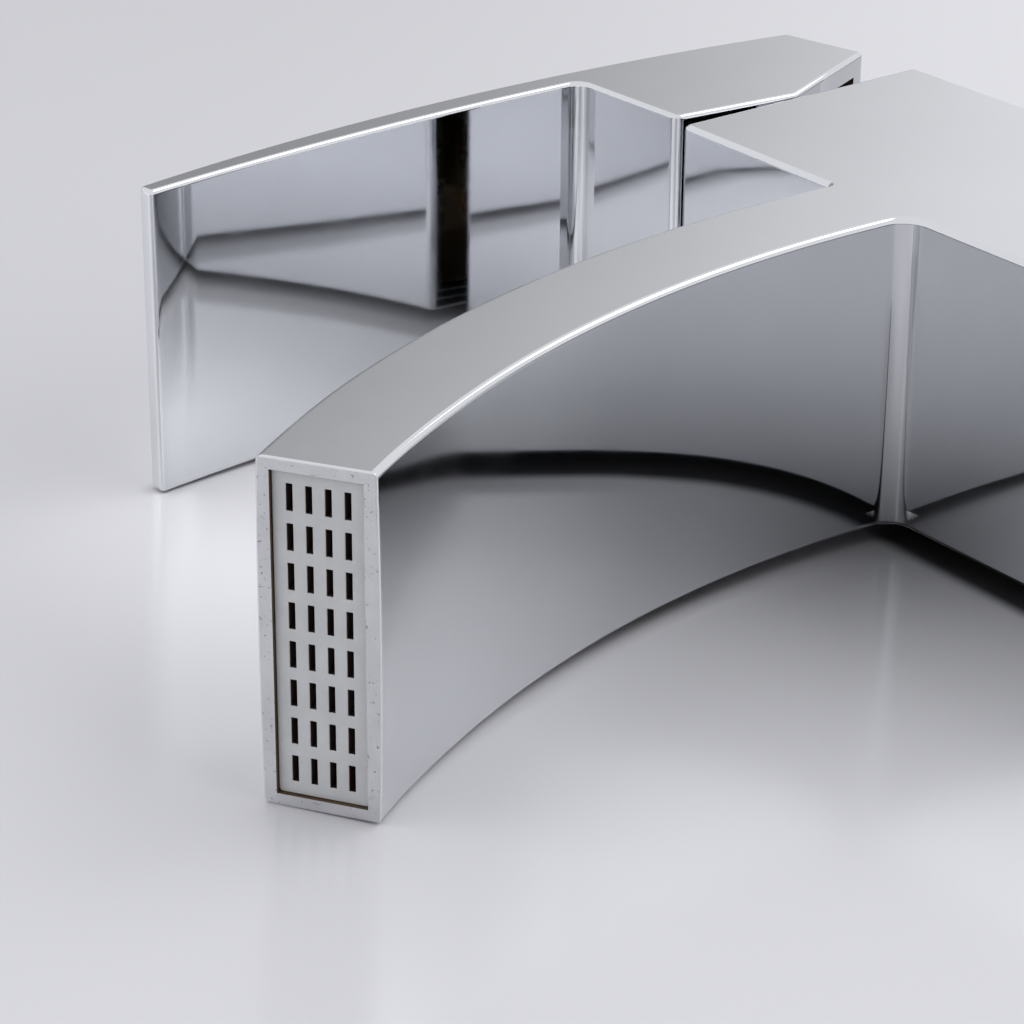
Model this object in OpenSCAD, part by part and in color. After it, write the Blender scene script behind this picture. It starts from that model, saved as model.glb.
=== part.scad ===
// Waterfall basin faucet: a square column with a flat curved spout, a lever handle above it,
// a ceramic-disc cartridge inside, and the clamp that holds it on a deck.
// The origin is the middle of the base on the deck. +Z is up and the spout points along -Y.

/* [Column] */
// Width of the column, the spout and the lever, along X
body_w = 45; // [44:1:56]
// Depth of the column, along Y
body_d = 45; // [44:1:56]
// Height of the column above the deck
body_h = 140; // [125:1:190]
// Radius of the inner corner between the underside of the spout and the column
under_corner_r = 3.5; // [1:0.5:8]
// Radius of the inner corner between the top of the spout and the column
top_corner_r = 0.8; // [0.4:0.2:4]

/* [Spout] */
// Radius of the arc along the top of the spout
spout_r = 184; // [165:1:230]
// Thickness of the spout
spout_t = 15.4; // [14.5:0.1:20]
// Height of the column's top above the highest point of the spout
spout_drop = 31; // [28:0.5:45]
// Distance of the spout's highest point in front of the column
spout_crest = 13.6; // [5:0.2:20]
// Distance of the middle of the outlet from the column's axis
outlet_reach = 131.4; // [105:0.2:150]
// Wall around the waterway in the spout
spout_wall = 3; // [2.5:0.5:4]

/* [Outlet] */
// Width of the rim at the two ends of the grille
rim_end = 1.6; // [1.2:0.1:2]
// Width of the rim above and below the grille
rim_long = 1.9; // [1.4:0.1:2.1]
// Thickness of the grille
grille_t = 3; // [2:0.5:4]
// Depth of the grille behind the rim
grille_recess = 0.6; // [0.2:0.1:1.5]
// Length of a slot, along X
slot_l = 3.4; // [2:0.1:4]
// Width of a slot
slot_w = 0.8; // [0.5:0.1:1.4]
// Distance from one row of slots to the next, along X
row_pitch = 5; // [4.6:0.1:5.1]
// Distance from one column of slots to the next
column_pitch = 2.4; // [1.8:0.1:2.5]
// Rows of slots
slot_rows = 8; // [4:1:8]
// Columns of slots
slot_columns = 4; // [2:1:4]
// Thickness of the flow screen behind the grille
screen_t = 1; // [0.6:0.2:2]
// Width of a square hole in the flow screen
screen_hole = 1.6; // [1:0.1:1.8]
// Distance from one hole of the flow screen to the next
screen_pitch = 2.6; // [2.4:0.1:4]
// Thickness of the seal behind the flow screen
outlet_seal_t = 1.5; // [1:0.5:2.5]
// Width of that seal's band at the ends of the grille
seal_end = 1.3; // [0.8:0.1:2]
// Width of that seal's band above and below the grille
seal_long = 1; // [0.8:0.1:2]

/* [Handle] */
// Height of the lever's highest point above the column's top
handle_h = 29.3; // [28:0.1:40]
// Distance of that point in front of the column
lever_crest = 16.5; // [8:0.5:30]
// Distance of the lever's tip from the column's axis
lever_reach = 98.8; // [70:0.2:120]
// Thickness of the lever at its highest point
lever_t = 4.6; // [3.5:0.1:6]
// Radius of the arc along the top of the handle
lever_top_r = 325; // [300:5:600]
// Radius of the arc along the underside of the lever
lever_under_r = 460; // [460:5:900]
// Radius of the inner corner between the lever and the block
lever_corner_r = 2.3; // [1:0.1:5]
// Gap between the block and the column's top, at the column's axis
block_gap = 0.9; // [0.9:0.1:2]
// Gap between the block and the column's top, at the front
block_front_gap = 1.6; // [1.2:0.1:3]
// Distance of the block's front behind the column's front, at the lever
block_front_set = 0.5; // [0:0.1:2]
// Distance that the block's front draws in toward its bottom
block_front_draw = 1.1; // [0:0.1:2]
// Distance of the block's back in front of the column's back, at the bottom
block_back_set = 0.9; // [0:0.1:2]
// Distance that the block's back draws in toward its top
block_back_draw = 2; // [0:0.1:3]
// Rise of the block's underside behind the axis, in degrees
block_rise = 23.3; // [22:0.1:26]
// Wall of the block's casting
handle_wall = 3.2; // [2.5:0.1:4]
// Metal above the hollow in the block
handle_roof = 8; // [6:0.5:10]
// Wall around the spindle's socket
socket_wall = 3.5; // [2.5:0.5:5]

/* [Cartridge] */
// Depth of the cartridge's seat below the column's top
seat_depth = 30; // [29:0.5:34]
// Depth of the tilt axis below the column's top
pivot_depth = 6; // [5:0.5:7]
// Distance from the tilt axis down to the middle of the spindle's ball
tilt_arm = 10; // [9.5:0.5:10]
// Outer radius of the cartridge
cartridge_r = 17.5; // [17:0.5:18]
// Wall of the cartridge's housing
housing_wall = 2; // [1.5:0.5:2]
// Thickness of the cartridge's base
base_t = 4; // [4:0.5:5]
// Thickness of each ceramic disc
disc_t = 3.5; // [3:0.5:3.5]
// Radius of the moving disc
moving_disc_r = 11.2; // [10.5:0.1:11.4]
// Thickness of the carrier on the moving disc
carrier_t = 5; // [5:0.2:5.2]
// Radius of the rotor's round top
rotor_r = 11.7; // [11:0.1:12]
// Width of the spindle's square shank
shank_w = 8; // [7:0.5:9]
// Height of the spindle's top above the column's top
shank_h = 18; // [17.5:0.5:18.5]
// Radius of the spindle's neck
neck_r = 1.8; // [1.4:0.1:1.9]
// Radius of the spindle's ball
ball_r = 2.5; // [2.3:0.1:2.6]
// Radius of the pin through the spindle
pin_r = 1.5; // [1.2:0.1:1.8]
// Outer radius of the nut over the cartridge
nut_ring_r = 18.9; // [18.5:0.1:19.4]
// Radius of the hole in the nut over the cartridge
nut_ring_hole_r = 12.4; // [12.2:0.1:13]
// Height of the nut over the cartridge
nut_ring_t = 7.5; // [5:0.5:8]
// Width of each of the nut's four notches
nut_notch_w = 4; // [3:0.5:6]
// Radius of the three waterways through the discs
port_r = 2.6; // [2.2:0.1:2.8]
// Distance between the two inlet waterways, along X
inlet_spacing = 15; // [14:0.5:15.5]
// Distance of the inlet waterways in front of the axis
inlet_front = 3; // [2.5:0.5:3.5]
// Distance of the outlet waterway behind the axis
outlet_back = 7; // [6.5:0.5:7.5]
// Radius of the pocket in the moving disc
mix_r = 6.5; // [6:0.1:6.8]
// Distance of that pocket's middle behind the axis
mix_back = 3.2; // [3:0.1:3.4]
// Depth of that pocket
mix_depth = 2; // [1:0.5:2.5]
// Radial width of a port seal
port_seal_w = 1.3; // [1:0.1:1.5]
// Thickness of a port seal
port_seal_t = 1.2; // [0.8:0.1:1.5]
// Radius of a locating peg
peg_r = 1.4; // [1:0.1:1.5]
// Length of a locating peg
peg_l = 2.5; // [1.5:0.5:4]
// Distance of the locating pegs from the axis
peg_at = 14; // [13:0.5:14.5]

/* [Set screw] */
// Radius of the set screw
screw_r = 2.5; // [2:0.5:2.5]
// Length of the set screw
screw_l = 8; // [5:1:10]
// Height of the set screw above the column's top
screw_h = 14.5; // [14.5:0.5:15]
// Width across flats of the set screw's hexagon socket
screw_hex = 2.5; // [2:0.5:2.5]
// Depth of that socket
screw_hex_depth = 3; // [2:0.5:4]
// Radius of the plug over the set screw
plug_r = 3.1; // [2.8:0.1:3.3]
// Length of the plug
plug_l = 2.4; // [1.5:0.1:3]

/* [Base and clamp] */
// Radius of each inlet thread
inlet_r = 4.5; // [4:0.5:5]
// Depth of each inlet thread
inlet_l = 12; // [8:1:16]
// Distance of the base gasket behind the column's sides
gasket_inset = 3; // [2:0.5:3.5]
// Width of the gasket's band
gasket_band = 2.5; // [2:0.5:3]
// Thickness of the gasket
gasket_t = 1.6; // [1:0.2:3]
// Radius of the gasket's corners
gasket_r = 5; // [4:0.5:8]
// Radius of the fixing stud
stud_r = 4; // [3:0.5:5]
// Length of the fixing stud
stud_l = 74; // [60:1:100]
// Depth of the stud's thread in the base
stud_depth = 12; // [8:1:16]
// Distance of the stud in front of the column's back
stud_inset = 10.5; // [10:0.5:11]
// Thickness of the deck that the clamp is drawn on
deck_t = 20; // [5:1:24]
// Rim of the washer and the clamp plate behind the stud
washer_rim = 4.7; // [3.7:0.1:5.7]
// Thickness of the washer
washer_t = 3; // [2:0.5:4]
// Thickness of the clamp plate
plate_t = 2.5; // [1.5:0.5:4]
// Width of the slot for the hoses in the washer and the plate
hose_slot_w = 29; // [26:1:30]
// Distance from an inlet's axis to the back of that slot
hose_slot_back = 7.5; // [7:0.5:7.5]
// Width across flats of the fixing nut
nut_flats = 13; // [12:0.5:17]
// Height of the fixing nut
nut_h = 6.5; // [4:0.5:8]

/* [Fits] */
// Clearance around a piece that is seated and doesn't move
seat_gap = 0.1; // [0.05:0.05:0.15]
// Clearance around a turning pin
pin_gap = 0.05; // [0.02:0.01:0.08]
// Clearance around a part that slides or turns
move_gap = 0.3; // [0.2:0.05:0.3]
// Clearance between the ball and its pocket
ball_gap = 0.12; // [0.1:0.01:0.16]

/* [Hidden] */
$fn = 96;
// Facets of a long arc
arc_fn = 360;
// Extra length of every cut past the face that it opens
overrun = 1;
// Overlap of pieces of one solid
lap = 0.5;
// Colours
chrome = [0.72, 0.74, 0.78];
satin_brass = [0.80, 0.68, 0.42];
grey_plastic = [0.62, 0.63, 0.65];
white_plastic = [0.88, 0.88, 0.86];
red_plastic = [0.70, 0.30, 0.26];
ceramic = [0.93, 0.92, 0.90];
rubber = [0.12, 0.12, 0.13];
steel = [0.60, 0.61, 0.63];

// Column
front_y = -body_d / 2;
back_y = body_d / 2;
// Spout: the arcs share one centre under the crest
spout_cy = front_y - spout_crest;
spout_cz = body_h - spout_drop - spout_r;
spout_centre = [spout_cy, spout_cz];
spout_in_r = spout_r - spout_t;
spout_mid_r = spout_r - spout_t / 2;
outlet_angle = asin((outlet_reach + spout_cy) / spout_mid_r);
outlet_y = spout_cy - spout_mid_r * sin(outlet_angle);
outlet_z = spout_cz + spout_mid_r * cos(outlet_angle);
pocket_depth = grille_recess + grille_t + screen_t + outlet_seal_t;
pocket_l = body_w - 2 * rim_end;
pocket_h = spout_t - 2 * rim_long;
grille_l = pocket_l - 2 * seat_gap;
grille_h = pocket_h - 2 * seat_gap;
channel_w = body_w - 2 * spout_wall;
channel_t = spout_t - 2 * spout_wall;
// Cartridge, from its seat up
seat_z = body_h - seat_depth;
pivot_z = body_h - pivot_depth;
base_top_z = seat_z + base_t;
fixed_top_z = base_top_z + disc_t;
moving_top_z = fixed_top_z + disc_t;
carrier_top_z = moving_top_z + carrier_t;
ball_z = pivot_z - tilt_arm;
flange_z = carrier_top_z + move_gap;
flange_t = 2.6;
lip_t = 1.8;
flange_top_z = flange_z + flange_t;
lip_z = flange_top_z + move_gap;
housing_top_z = lip_z + lip_t;
cavity_r = cartridge_r - housing_wall;
rotor_top_z = housing_top_z + nut_ring_t - move_gap;
nut_ring_top_z = housing_top_z + nut_ring_t;
bore_r = cartridge_r + seat_gap;
nut_bore_r = nut_ring_r + seat_gap;
nut_bore_z = housing_top_z - lip_t;
// Half of the rotor's slot along Y: room for the shank at the end of the tilt
rotor_slot_w = shank_w + 2 * move_gap;
rotor_slot_d = shank_w + 2 * ball_r - move_gap;
// Handle
lever_cy = front_y - lever_crest;
lever_crest_z = body_h + handle_h;
lever_top_cz = lever_crest_z - lever_top_r;
lever_under_cz = lever_crest_z - lever_t - lever_under_r;
block_z = body_h + block_gap;
block_front_z = body_h + block_front_gap;
block_front_y = front_y + block_front_set;
block_back_y = back_y - block_back_set;
block_back_z = block_z + block_back_y * tan(block_rise);
block_root_z = lever_under_cz + sqrt(pow(lever_under_r, 2) - pow(block_front_y - lever_cy, 2));
hollow_z = lever_crest_z - handle_roof - lever_corner_r;
socket_w = shank_w + 2 * seat_gap;
socket_top_z = body_h + shank_h + move_gap;
boss_w = socket_w + 2 * socket_wall;
screw_z = body_h + screw_h;
screw_rib_w = 2 * (plug_r + seat_gap) + handle_wall;
// Set screw and plug, from the shank back to the block's back face
screw_y = shank_w / 2;
plug_back_y = block_back_at(screw_z);
// Base and clamp
stud_back = back_y - stud_inset;
stud_top_z = stud_depth;
washer_r = stud_back + stud_r + move_gap + washer_rim;
washer_z = -deck_t - washer_t;
plate_z = washer_z - plate_t;
nut_z = plate_z - nut_h;
hose_slot_y = hose_slot_back - inlet_front;

// Extrudes an outline drawn as Y across and Z up to a width along X, centred on the axis
module across(w) {
    rotate([90, 0, 90])
        translate([0, 0, -w / 2])
            linear_extrude(height = w)
                children();
}

// A box centred on X and Y that stands on a height
module column_box(w, d, z0, z1) {
    translate([-w / 2, -d / 2, z0])
        cube([w, d, z1 - z0]);
}

// A cylinder from one height to another
module post(r, z0, z1) {
    translate([0, 0, z0])
        cylinder(r = r, h = z1 - z0);
}

// A ring from one height to another
module ring(r_out, r_in, z0, z1) {
    difference() {
        post(r_out, z0, z1);
        post(r_in, z0 - overrun, z1 + overrun);
    }
}

// A rectangle with round corners, centred
module round_rectangle(w, d, r) {
    square([w, d - 2 * r], center = true);
    square([w - 2 * r, d], center = true);
    for (x = [-1, 1], y = [-1, 1])
        translate([x * (w / 2 - r), y * (d / 2 - r)])
            circle(r = r);
}

// Puts its children at each of the three waterways
module at_ports() {
    for (side = [-1, 1])
        translate([side * inlet_spacing / 2, -inlet_front, 0])
            children();
    translate([0, outlet_back, 0])
        children();
}

// A point at a radius and an angle from the vertical about the spout's centre
function spout_point(r, a) = [spout_cy - r * sin(a), spout_cz + r * cos(a)];

// The band between two arcs of the spout, from an angle inside the column to one in front
module spout_band(r0, r1, a0, a1) {
    intersection() {
        translate([spout_cy, spout_cz])
            difference() {
                circle(r = r1, $fn = arc_fn);
                circle(r = r0, $fn = arc_fn);
            }
        polygon([
            [spout_cy, spout_cz],
            spout_point(2 * spout_r, a1),
            spout_point(2 * spout_r, a0)
        ]);
    }
}

// The angle of the spout's middle arc at a depth behind its centre
function spout_angle_at(y) = -asin((y - spout_cy) / spout_mid_r);

// A round inner corner between an arc and the upright face behind it.
// The side is 1 over the arc and -1 under it.
module inner_corner(centre, arc_r, face_y, r, side) {
    y = face_y - r;
    reach = arc_r + side * r;
    z = centre.y + sqrt(reach * reach - pow(y - centre.x, 2));
    arc_end = centre + ([y, z] - centre) * (arc_r - side * lap) / reach;
    difference() {
        polygon([[y, z], arc_end, [face_y + lap, arc_end.y], [face_y + lap, z]]);
        translate([y, z])
            circle(r = r);
    }
}

// Places its children at the outlet: local -Y points out of the spout and Z across it
module at_outlet() {
    translate([0, outlet_y, outlet_z])
        rotate([outlet_angle, 0, 0])
            children();
}

// A block at the outlet from one depth to another
module outlet_block(l, h, d0, d1) {
    at_outlet()
        translate([-l / 2, d0, -h / 2])
            cube([l, d1 - d0, h]);
}

// The waterways: two inlets up to the cartridge, and the way from it through the spout
module waterways() {
    mid_z = spout_cz + spout_mid_r * cos(spout_angle_at(0));
    wide_y = -inlet_front - port_r - 2 * spout_wall;
    throat_w = inlet_spacing - 2 * port_r - 2 * housing_wall;
    for (side = [-1, 1])
        translate([side * inlet_spacing / 2, -inlet_front, 0]) {
            post(port_r, inlet_l - lap, seat_z + overrun);
            post(inlet_r, -overrun, inlet_l);
        }
    translate([0, outlet_back, 0])
        post(port_r, mid_z, seat_z + overrun);
    across(channel_w)
        spout_band(
            spout_in_r + spout_wall, spout_r - spout_wall,
            spout_angle_at(wide_y), outlet_angle
        );
    translate([-throat_w / 2, wide_y - lap, mid_z - channel_t / 2])
        cube([throat_w, outlet_back + port_r - wide_y + lap, channel_t]);
}

// The band of the base gasket with a clearance around it
module gasket_band_shape(gap, z1) {
    outer = gasket_inset - gap;
    inner = gasket_inset + gasket_band + gap;
    difference() {
        linear_extrude(height = z1)
            round_rectangle(body_w - 2 * outer, body_d - 2 * outer, gasket_r);
        translate([0, 0, -overrun])
            linear_extrude(height = z1 + 2 * overrun)
                round_rectangle(body_w - 2 * inner, body_d - 2 * inner, gasket_r - gasket_band);
    }
}

module body_casting() {
    color(chrome)
        difference() {
            union() {
                across(body_w) {
                    translate([front_y, 0])
                        square([body_d, body_h]);
                    spout_band(spout_in_r, spout_r, spout_angle_at(0), outlet_angle);
                }
                across(body_w)
                    inner_corner(spout_centre, spout_in_r, front_y, under_corner_r, -1);
                across(body_w)
                    inner_corner(spout_centre, spout_r, front_y, top_corner_r, 1);
            }
            post(bore_r, seat_z, body_h + overrun);
            post(nut_bore_r, nut_bore_z, body_h + overrun);
            for (side = [-1, 1])
                translate([side * peg_at, 0, seat_z - peg_l - seat_gap])
                    post(peg_r + seat_gap, 0, peg_l + seat_gap + overrun);
            waterways();
            outlet_block(pocket_l, pocket_h, -overrun, pocket_depth);
            gasket_band_shape(seat_gap, gasket_t);
            translate([0, stud_back, 0])
                post(stud_r + seat_gap, -overrun, stud_top_z);
        }
}

module base_gasket() {
    color(rubber)
        gasket_band_shape(0, gasket_t);
}

module outlet_grille() {
    color(grey_plastic)
        difference() {
            outlet_block(grille_l, grille_h, grille_recess, grille_recess + grille_t);
            for (row = [0 : slot_rows - 1], column = [0 : slot_columns - 1])
                at_outlet()
                    translate([
                        (row - (slot_rows - 1) / 2) * row_pitch - slot_l / 2,
                        grille_recess - overrun,
                        (column - (slot_columns - 1) / 2) * column_pitch - slot_w / 2
                    ])
                        cube([slot_l, grille_t + 2 * overrun, slot_w]);
        }
}

module flow_screen() {
    front = grille_recess + grille_t;
    across_n = floor((grille_l - 2 * spout_wall) / screen_pitch);
    up_n = floor((grille_h - spout_wall) / screen_pitch);
    color(steel)
        difference() {
            outlet_block(grille_l, grille_h, front, front + screen_t);
            for (i = [0 : across_n - 1], j = [0 : up_n - 1])
                at_outlet()
                    translate([
                        (i - (across_n - 1) / 2) * screen_pitch - screen_hole / 2,
                        front - overrun,
                        (j - (up_n - 1) / 2) * screen_pitch - screen_hole / 2
                    ])
                        cube([screen_hole, screen_t + 2 * overrun, screen_hole]);
        }
}

module outlet_seal() {
    front = grille_recess + grille_t + screen_t;
    color(rubber)
        difference() {
            outlet_block(grille_l, grille_h, front, front + outlet_seal_t);
            outlet_block(
                grille_l - 2 * seal_end, grille_h - 2 * seal_long,
                front - overrun, pocket_depth + overrun
            );
        }
}

// Three rubber rings around the waterways
module seal_rings(z0) {
    at_ports()
        ring(port_r + port_seal_w, port_r, z0, z0 + port_seal_t);
}

module port_seals() {
    color(rubber)
        seal_rings(seat_z);
}

module disc_seals() {
    color(rubber)
        seal_rings(base_top_z - port_seal_t);
}

module cartridge_base() {
    color(white_plastic) {
        difference() {
            post(cartridge_r, seat_z, base_top_z);
            at_ports() {
                post(port_r, seat_z - overrun, base_top_z + overrun);
                post(port_r + port_seal_w + seat_gap, seat_z - overrun, seat_z + port_seal_t);
                post(
                    port_r + port_seal_w + seat_gap,
                    base_top_z - port_seal_t, base_top_z + overrun
                );
            }
        }
        for (side = [-1, 1])
            translate([side * peg_at, 0, 0])
                post(peg_r, seat_z - peg_l, seat_z + lap);
    }
}

module fixed_disc() {
    color(ceramic)
        difference() {
            post(cavity_r - move_gap, base_top_z, fixed_top_z);
            at_ports()
                post(port_r, base_top_z - overrun, fixed_top_z + overrun);
        }
}

module moving_disc() {
    color(ceramic)
        difference() {
            post(moving_disc_r, fixed_top_z, moving_top_z);
            translate([0, mix_back, 0])
                post(mix_r, fixed_top_z - overrun, fixed_top_z + mix_depth);
        }
}

module disc_carrier() {
    pocket_w = 2 * (ball_r + ball_gap);
    color(white_plastic)
        difference() {
            post(moving_disc_r - seat_gap, moving_top_z, carrier_top_z);
            column_box(pocket_w, pocket_w, ball_z - ball_r - ball_gap, carrier_top_z + overrun);
        }
}

module cartridge_housing() {
    color(white_plastic)
        difference() {
            post(cartridge_r, base_top_z, housing_top_z);
            post(cavity_r, base_top_z - overrun, lip_z);
            post(rotor_r + move_gap, lip_z - overrun, housing_top_z + overrun);
        }
}

module cartridge_rotor() {
    color(red_plastic)
        difference() {
            union() {
                post(cavity_r - move_gap, flange_z, flange_top_z);
                post(rotor_r, flange_top_z - lap, rotor_top_z);
            }
            column_box(rotor_slot_w, rotor_slot_d, flange_z - overrun, rotor_top_z + overrun);
            pin_along_x(pin_r + pin_gap, 2 * cartridge_r);
        }
}

// A round bar along X on the tilt axis
module pin_along_x(r, l) {
    translate([-l / 2, 0, pivot_z])
        rotate([0, 90, 0])
            cylinder(r = r, h = l);
}

module spindle_pin() {
    color(steel)
        pin_along_x(pin_r, 2 * (rotor_r - lap));
}

module cartridge_spindle() {
    color(satin_brass)
        difference() {
            union() {
                column_box(shank_w, shank_w, pivot_z - shank_w / 2, body_h + shank_h);
                post(neck_r, ball_z, pivot_z);
                translate([0, 0, ball_z])
                    sphere(r = ball_r);
            }
            pin_along_x(pin_r + pin_gap, 2 * cartridge_r);
        }
}

module cartridge_nut() {
    color(satin_brass)
        difference() {
            ring(nut_ring_r, nut_ring_hole_r, housing_top_z, nut_ring_top_z);
            for (turn = [45, 135])
                rotate([0, 0, turn])
                    translate([
                        -nut_ring_r - overrun,
                        -nut_notch_w / 2,
                        nut_ring_top_z - nut_notch_w / 2
                    ])
                        cube([2 * (nut_ring_r + overrun), nut_notch_w, nut_notch_w]);
        }
}

// The region between the lever's two arcs, from its tip to the block's back
module lever_band() {
    intersection() {
        translate([lever_cy, lever_top_cz])
            circle(r = lever_top_r, $fn = arc_fn);
        difference() {
            translate([-lever_reach, body_h])
                square([lever_reach + block_front_y + lap, 2 * handle_h]);
            translate([lever_cy, lever_under_cz])
                circle(r = lever_under_r, $fn = arc_fn);
        }
    }
}

// Where the block's front and back faces lie along Y, at a height
function block_front_at(z) = block_front_y
    + block_front_draw * (block_root_z - z) / (block_root_z - block_front_z);
function block_back_at(z) = block_back_y
    - block_back_draw * (z - block_back_z) / (hollow_z - block_back_z);

// The block's outline, up to the handle's top arc
module block_outline() {
    over_z = lever_crest_z + lap;
    intersection() {
        translate([lever_cy, lever_top_cz])
            circle(r = lever_top_r, $fn = arc_fn);
        polygon([
            [block_front_at(block_front_z), block_front_z],
            [0, block_z],
            [block_back_y, block_back_z],
            [block_back_at(over_z), over_z],
            [block_front_at(over_z), over_z]
        ]);
    }
}

// The hollow under the block, around the spindle's socket and the set screw's rib
module block_hollow() {
    difference() {
        across(body_w - 2 * handle_wall)
            polygon([
                [block_front_at(body_h) + handle_wall, body_h],
                [block_back_at(body_h) - handle_wall, body_h],
                [block_back_at(hollow_z) - handle_wall, hollow_z],
                [block_front_at(hollow_z) + handle_wall, hollow_z]
            ]);
        column_box(boss_w, boss_w, body_h - overrun, hollow_z + overrun);
        translate([-screw_rib_w / 2, 0, screw_z - plug_r - handle_wall])
            cube([screw_rib_w, body_d, hollow_z]);
    }
}

module handle() {
    color(chrome)
        difference() {
            union() {
                across(body_w) {
                    lever_band();
                    block_outline();
                }
                across(body_w)
                    inner_corner(
                        [lever_cy, lever_under_cz], lever_under_r,
                        block_front_y, lever_corner_r, -1
                    );
            }
            block_hollow();
            column_box(socket_w, socket_w, body_h, socket_top_z);
            screw_hole(screw_r + pin_gap, 0);
            screw_hole(plug_r + seat_gap, plug_back_y - plug_l);
        }
}

// A hole along Y from a place behind the spindle out of the block's back
module screw_hole(r, y0) {
    translate([0, y0, screw_z])
        rotate([-90, 0, 0])
            cylinder(r = r, h = body_d - y0);
}

module handle_set_screw() {
    color(steel)
        translate([0, screw_y, screw_z])
            rotate([-90, 0, 0])
                difference() {
                    cylinder(r = screw_r, h = screw_l);
                    translate([0, 0, screw_l - screw_hex_depth])
                        cylinder(d = screw_hex / cos(30), h = screw_hex_depth + overrun, $fn = 6);
                }
}

module screw_plug() {
    color(grey_plastic)
        translate([0, plug_back_y - plug_l, screw_z])
            rotate([-90, 0, 0])
                cylinder(r = plug_r, h = plug_l);
}

module fixing_stud() {
    color(steel)
        translate([0, stud_back, 0])
            post(stud_r, stud_top_z - stud_l, stud_top_z);
}

// A round plate with a hole for the stud and a slot for the hoses that opens to the front
module horseshoe(z0, z1) {
    difference() {
        post(washer_r, z0, z1);
        translate([0, stud_back, 0])
            post(stud_r + move_gap, z0 - overrun, z1 + overrun);
        translate([-hose_slot_w / 2, -washer_r - overrun, z0 - overrun])
            cube([hose_slot_w, washer_r + overrun + hose_slot_y, z1 - z0 + 2 * overrun]);
    }
}

module deck_washer() {
    color(rubber)
        horseshoe(washer_z, -deck_t);
}

module clamp_plate() {
    color(steel)
        horseshoe(plate_z, washer_z);
}

module fixing_nut() {
    color(satin_brass)
        translate([0, stud_back, nut_z])
            difference() {
                cylinder(d = nut_flats / cos(30), h = nut_h, $fn = 6);
                translate([0, 0, -overrun])
                    cylinder(r = stud_r + seat_gap, h = nut_h + 2 * overrun);
            }
}

body_casting();
base_gasket();
outlet_grille();
flow_screen();
outlet_seal();
port_seals();
cartridge_base();
disc_seals();
fixed_disc();
moving_disc();
disc_carrier();
cartridge_housing();
cartridge_rotor();
spindle_pin();
cartridge_spindle();
cartridge_nut();
handle();
handle_set_screw();
screw_plug();
fixing_stud();
deck_washer();
clamp_plate();
fixing_nut();
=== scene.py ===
import logging
import math
from abc import ABC, abstractmethod
from collections.abc import Callable, Iterator
from contextlib import contextmanager
from dataclasses import dataclass
from enum import Enum

import bmesh
import bpy
from mathutils import Matrix, Vector


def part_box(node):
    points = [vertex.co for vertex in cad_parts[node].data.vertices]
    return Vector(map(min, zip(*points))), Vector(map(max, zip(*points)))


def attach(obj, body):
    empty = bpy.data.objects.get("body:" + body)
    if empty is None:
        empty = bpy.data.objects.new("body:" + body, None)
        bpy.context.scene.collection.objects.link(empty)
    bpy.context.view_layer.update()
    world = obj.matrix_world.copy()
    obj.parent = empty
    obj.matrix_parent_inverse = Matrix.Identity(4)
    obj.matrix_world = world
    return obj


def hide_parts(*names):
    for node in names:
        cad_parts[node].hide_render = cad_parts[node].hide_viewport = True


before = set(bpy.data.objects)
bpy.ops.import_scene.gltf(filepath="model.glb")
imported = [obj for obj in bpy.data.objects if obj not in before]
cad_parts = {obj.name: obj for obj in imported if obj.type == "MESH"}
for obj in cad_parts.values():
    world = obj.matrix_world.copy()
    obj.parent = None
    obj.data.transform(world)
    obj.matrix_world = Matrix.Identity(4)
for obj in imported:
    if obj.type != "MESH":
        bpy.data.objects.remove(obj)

MM = 0.001
X_AXIS = Vector((1, 0, 0))
Y_AXIS = Vector((0, 1, 0))
Z_AXIS = Vector((0, 0, 1))
NEAR = 0.02 * MM  # Places closer than this count as the same
Piece = bpy.types.Object
Socket = bpy.types.NodeSocket
PairTest = Callable[[Vector, Vector], bool]
log = logging.getLogger("faucet")


class Operation(Enum):
    """What a cutter does to the piece it is used on."""

    CUT = "DIFFERENCE"
    KEEP_COMMON = "INTERSECT"


class Body(Enum):
    """The bodies that the pieces modelled here ride on."""

    FAUCET = "faucet_body"
    HANDLE = "handle"


class Slot(Enum):
    """The material slots of the part's record."""

    CHROME = "chrome"
    BRASS = "brass"
    STEEL = "steel"
    GREY_PLASTIC = "grey_plastic"
    RUBBER = "rubber"


# Modelling by hand

def clear_bench() -> None:
    """Leave object mode and deselect everything."""
    if bpy.context.object and bpy.context.object.mode != "OBJECT":
        bpy.ops.object.mode_set(mode="OBJECT")
    bpy.ops.object.select_all(action="DESELECT")


def take_up(piece: Piece) -> None:
    """Make one piece the only selected and active object.

    Args:
        piece: The object to work on.
    """
    clear_bench()
    piece.select_set(True)
    bpy.context.view_layer.objects.active = piece


@contextmanager
def shaping(piece: Piece, kind: str = "FACE") -> Iterator[None]:
    """Open a piece in edit mode with nothing selected, and close it again.

    Args:
        piece: The object to shape.
        kind: The selection mode, VERT, EDGE or FACE.
    """
    take_up(piece)
    bpy.ops.object.mode_set(mode="EDIT")
    bpy.ops.mesh.select_mode(type=kind)
    bpy.ops.mesh.select_all(action="DESELECT")
    yield
    bpy.ops.object.mode_set(mode="OBJECT")


def select_everything() -> None:
    """Select all of the piece in edit mode."""
    bpy.ops.mesh.select_all(action="SELECT")


def draw_out(step: Vector | tuple[float, float, float]) -> None:
    """Extrude the selected edges or faces by one step."""
    bpy.ops.mesh.extrude_region_move(TRANSFORM_OT_translate={"value": step})


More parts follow.
